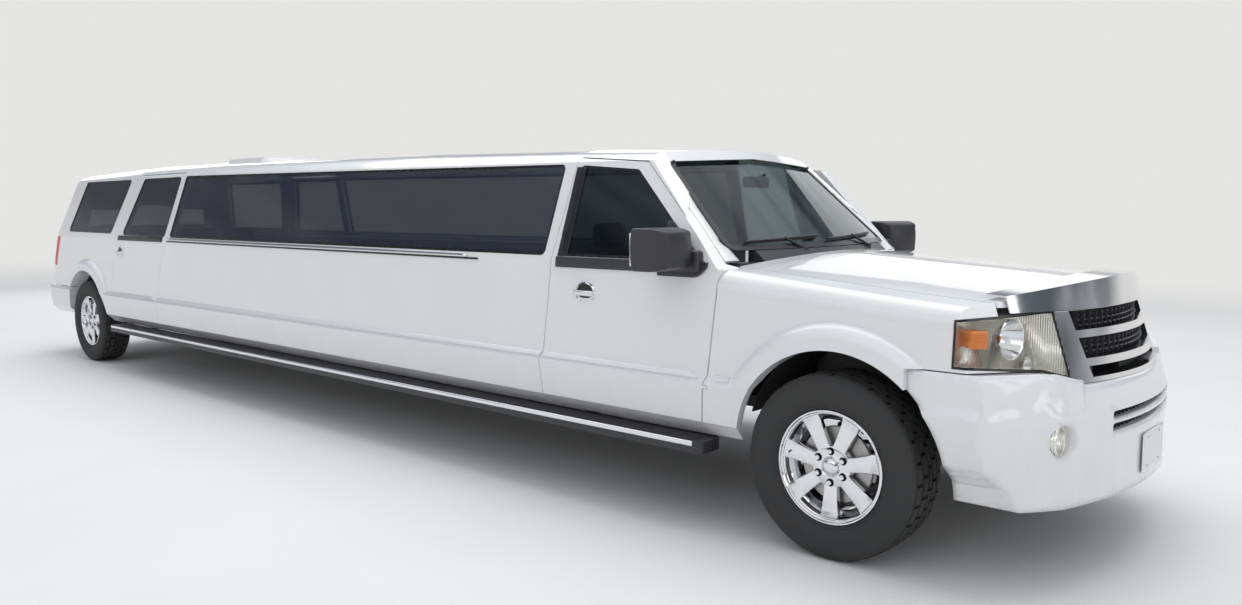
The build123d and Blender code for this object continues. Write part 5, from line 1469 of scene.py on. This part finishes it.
def build_seats():
    """Padded seats in place of the plain blocks: two in front, the long bench and the rear bench."""
    back_lean, rest_lean = -0.13, -0.10
    low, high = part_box("front_seats")
    foot = low.z + 0.020
    middles = (low.y + 0.25, high.y - 0.25)
    parts = []
    bases = bmesh.new()
    for y in middles:
        parts += [
            ((-1.640, y - 0.245, foot + 0.075), (-1.190, y + 0.245, foot + 0.235), 3, 1, 0),
            ((-1.735, y - 0.235, foot + 0.190), (-1.605, y + 0.235, high.z - 0.150), 1, 3, back_lean),
            ((-1.800, y - 0.125, high.z - 0.155), (-1.700, y + 0.125, high.z - 0.006), 1, 1, rest_lean),
        ]
        merge(bases, block((-1.68, y - 0.19, low.z), (-1.26, y + 0.19, foot + 0.080), 0.02))
        for dy in (-0.06, 0.06):
            merge(bases, rod((-1.745, y + dy, high.z - 0.22), (-1.752, y + dy, high.z - 0.08), 0.006, 12, 1))
    add_pad("driver_seats", parts, ("front_seats",))
    add_piece("seat_bases", bases, ["black_plastic", "steel"])

    low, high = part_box("long_seat")
    parts = []
    places, seam = 7, 0.003
    width = (high.x - low.x) / places
    for number in range(places):
        x_low, x_high = low.x + number * width + seam, low.x + (number + 1) * width - seam
        parts += [
            ((x_low, low.y + 0.004, low.z + 0.150), (x_high, low.y + 0.372, low.z + 0.326), 2, 1, 0),
            ((x_low, high.y - 0.112, low.z + 0.300), (x_high, high.y - 0.004, high.z - 0.004), 2, 1, 0),
        ]
    add_pad("side_bench", parts, ("long_seat",), 0.036)
    plinth = block(
        (low.x + 0.01, low.y + 0.03, low.z), (high.x - 0.01, high.y - 0.02, low.z + 0.165), 0.006, 2
    )
    add_piece("bench_plinth", plinth, ["black_plastic"])

    low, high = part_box("rear_seat")
    parts = []
    places = 3
    width = (high.y - low.y) / places
    for number in range(places):
        y_low, y_high = low.y + number * width + seam, low.y + (number + 1) * width - seam
        parts += [
            ((low.x + 0.115, y_low, low.z + 0.085), (high.x - 0.005, y_high, low.z + 0.245), 3, 1, 0),
            ((low.x + 0.045, y_low, low.z + 0.205), (low.x + 0.165, y_high, high.z - 0.008), 1, 3, rest_lean),
        ]
    add_pad("rear_bench", parts, ("rear_seat",), 0.036)
    plinth = block(
        (low.x + 0.14, low.y + 0.02, low.z), (high.x - 0.03, high.y - 0.02, low.z + 0.100), 0.006, 2
    )
    add_piece("rear_plinth", plinth, ["black_plastic"])


def steering_mesh():
    """A steering wheel about the Y axis, its face along +Y: rim, four spokes, pad and column."""
    radius, grip, steps = 0.185, 0.0150, 24
    pad = [(0.0, 0.022), (0.050, 0.019), (0.072, 0.008), (0.078, -0.010), (0.060, -0.030), (0.0, -0.034)]
    angles = [math.tau * number / steps for number in range(steps)]
    ring = [(radius + grip * math.cos(angle), grip * math.sin(angle)) for angle in angles]
    bm = spun(ring, 72, 0, True)
    for degrees in (-12, 192, 250, 290):
        turn = Matrix.Rotation(math.radians(degrees), 4, "Y")
        merge(bm, block((0.055, -0.012, -0.019), (0.176, 0.004, 0.019), 0.006, 3, 1), turn)
    merge(bm, spun(pad, 48, 1))
    merge(bm, rod((0, -0.030, 0), (0, -0.170, 0), 0.026, 24, 1, 0.034))
    return bm


def build_controls():
    """Steering wheel, instrument hood, centre stack, vents and the inside mirror."""
    low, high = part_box("steering_wheel")
    lean = math.radians(24.0)
    centre = Vector((-1.060, (low.y + high.y) / 2, 1.090))
    facing = Vector((-math.cos(lean), 0, math.sin(lean)))
    turn = facing.to_track_quat("Y", "Z").to_matrix().to_4x4()
    wheel = merge(bmesh.new(), steering_mesh(), Matrix.Translation(centre) @ turn)
    add_piece("leather_wheel", wheel, ["leather", "black_plastic"], "root", ("steering_wheel",), 40.0)

    low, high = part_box("dashboard")
    hood_low = (low.x + 0.075, centre.y - 0.20, high.z - 0.035)
    dash = block(hood_low, (low.x + 0.235, centre.y + 0.20, high.z + 0.035), 0.03, 5)
    merge(dash, block((low.x - 0.004, -0.15, low.z + 0.10), (low.x + 0.05, 0.15, high.z - 0.10), 0.015, 4))
    for z in (low.z + 0.15, low.z + 0.22, low.z + 0.29):
        merge(dash, block((low.x - 0.009, -0.11, z), (low.x, 0.11, z + 0.035), 0.004, 2, 1))
    vent_low, vent_high = high.z - 0.11, high.z - 0.105
    for y in (-0.62, -0.26, 0.26, 0.62):
        merge(dash, rod((low.x + 0.03, y, vent_low), (low.x - 0.004, y, vent_high), 0.042, 28, 2, 0.046))
        merge(dash, rod((low.x, y, vent_low), (low.x - 0.008, y, vent_high), 0.030, 28, 1))
    add_piece("dash_trim", dash, ["black_plastic", "border_black", "chrome"])

    x = from_front(tree_of("windscreen"), 0.0, 1.655).x
    mirror = block((x - 0.085, -0.12, 1.600), (x - 0.065, 0.12, 1.660), 0.010)
    merge(mirror, rod((x - 0.075, 0, 1.65), (x - 0.010, 0, 1.675), 0.008, 12))
    merge(mirror, block((x - 0.087, -0.112, 1.606), (x - 0.084, 0.112, 1.654), 0.001, 1, 1))
    add_piece("inside_mirror", mirror, ["black_plastic", "lamp_reflector"])


# Underneath
def coil_mesh(radius, wire, low, high, turns):
    """A coil spring between two heights, about the Z axis."""
    bm = bmesh.new()
    ring = bmesh.ops.create_circle(bm, cap_ends=False, segments=8, radius=wire)["verts"]
    bmesh.ops.rotate(bm, cent=(0, 0, 0), matrix=Matrix.Rotation(math.radians(90), 3, "X"), verts=ring)
    bmesh.ops.translate(bm, vec=(radius, 0, low), verts=ring)
    steps = turns * 20
    bmesh.ops.spin(
        bm, geom=bm.verts[:] + bm.edges[:], cent=(0, 0, 0), axis=(0, 0, 1), angle=math.tau * turns,
        steps=steps, dvec=(0, 0, (high - low) / steps)
    )
    bmesh.ops.recalc_face_normals(bm, faces=bm.faces)
    return bm


def build_underside():
    """Springs and dampers of both axles."""
    front_x, front_y = 0.02, 0.595
    rear_y = 0.43
    bm = bmesh.new()
    for side in (RIGHT, LEFT):
        rear_place = Matrix.Translation((rear_axle_x, side * rear_y, 0))
        merge(bm, coil_mesh(0.062, 0.007, 0.412, 0.486, 3), rear_place)
        merge(bm, rod((front_x, side * 0.62, 0.268), (front_x, side * 0.56, 0.535), 0.026, 20, 1))
        front_place = Matrix.Translation((front_x, side * front_y, 0))
        merge(bm, coil_mesh(0.050, 0.007, 0.300, 0.505, 5), front_place)
        low_end = (rear_axle_x - 0.09, side * 0.60, 0.380)
        merge(bm, rod(low_end, (rear_axle_x - 0.17, side * 0.50, 0.600), 0.024, 20, 1))
    add_piece("springs", bm, ["frame_black", "steel"])


OPERATORS = []


def step(build):
    """An operator class that runs one building function, named after it."""
    idname = build.__name__.removeprefix("build_")

    def execute(self, context):
        build()
        return {"FINISHED"}

    kind = type(
        "LIMOUSINE_OT_" + idname, (bpy.types.Operator,),
        {
            "bl_idname": "limousine." + idname,
            "bl_label": idname.replace("_", " ").capitalize(),
            "__doc__": build.__doc__,
            "execute": execute,
        }
    )
    OPERATORS.append(kind)


# The order in which the pieces are made
for builder in (
    build_stage, build_finishes, build_wheels, build_window_trim, build_pillar_feet, build_belt_trim,
    build_side_creases, build_handles, build_mirrors, build_grille_trim, build_headlamps, build_bumper_skin,
    build_bumper_trim, build_wipers, build_board_trim, build_tail_trim, build_seats, build_controls,
    build_underside,
):
    step(builder)


class LIMOUSINE_PT_panel(bpy.types.Panel):
    """Lists the steps and the values."""

    bl_label = "Limousine"
    bl_idname = "LIMOUSINE_PT_panel"
    bl_space_type = "VIEW_3D"
    bl_region_type = "UI"
    bl_category = "Limousine"

    def draw(self, context):
        for group in (context.scene.limousine_sizes, context.scene.limousine_colours):
            for name in group.bl_rna.properties.keys():
                if name not in ("rna_type", "name"):
                    self.layout.prop(group, name)
        for kind in OPERATORS:
            self.layout.operator(kind.bl_idname)


CLASSES = [LimousineSizes, LimousineColours, *OPERATORS, LIMOUSINE_PT_panel]


def register():
    for kind in CLASSES:
        bpy.utils.register_class(kind)
    bpy.types.Scene.limousine_sizes = bpy.props.PointerProperty(type=LimousineSizes)
    bpy.types.Scene.limousine_colours = bpy.props.PointerProperty(type=LimousineColours)


def unregister():
    del bpy.types.Scene.limousine_colours
    del bpy.types.Scene.limousine_sizes
    for kind in reversed(CLASSES):
        bpy.utils.unregister_class(kind)


def main():
    """Build everything in order and write the sizes before and after."""
    register()
    for kind in OPERATORS:
        getattr(bpy.ops.limousine, kind.bl_idname.split(".")[1])()


if __name__ == "__main__":
    main()
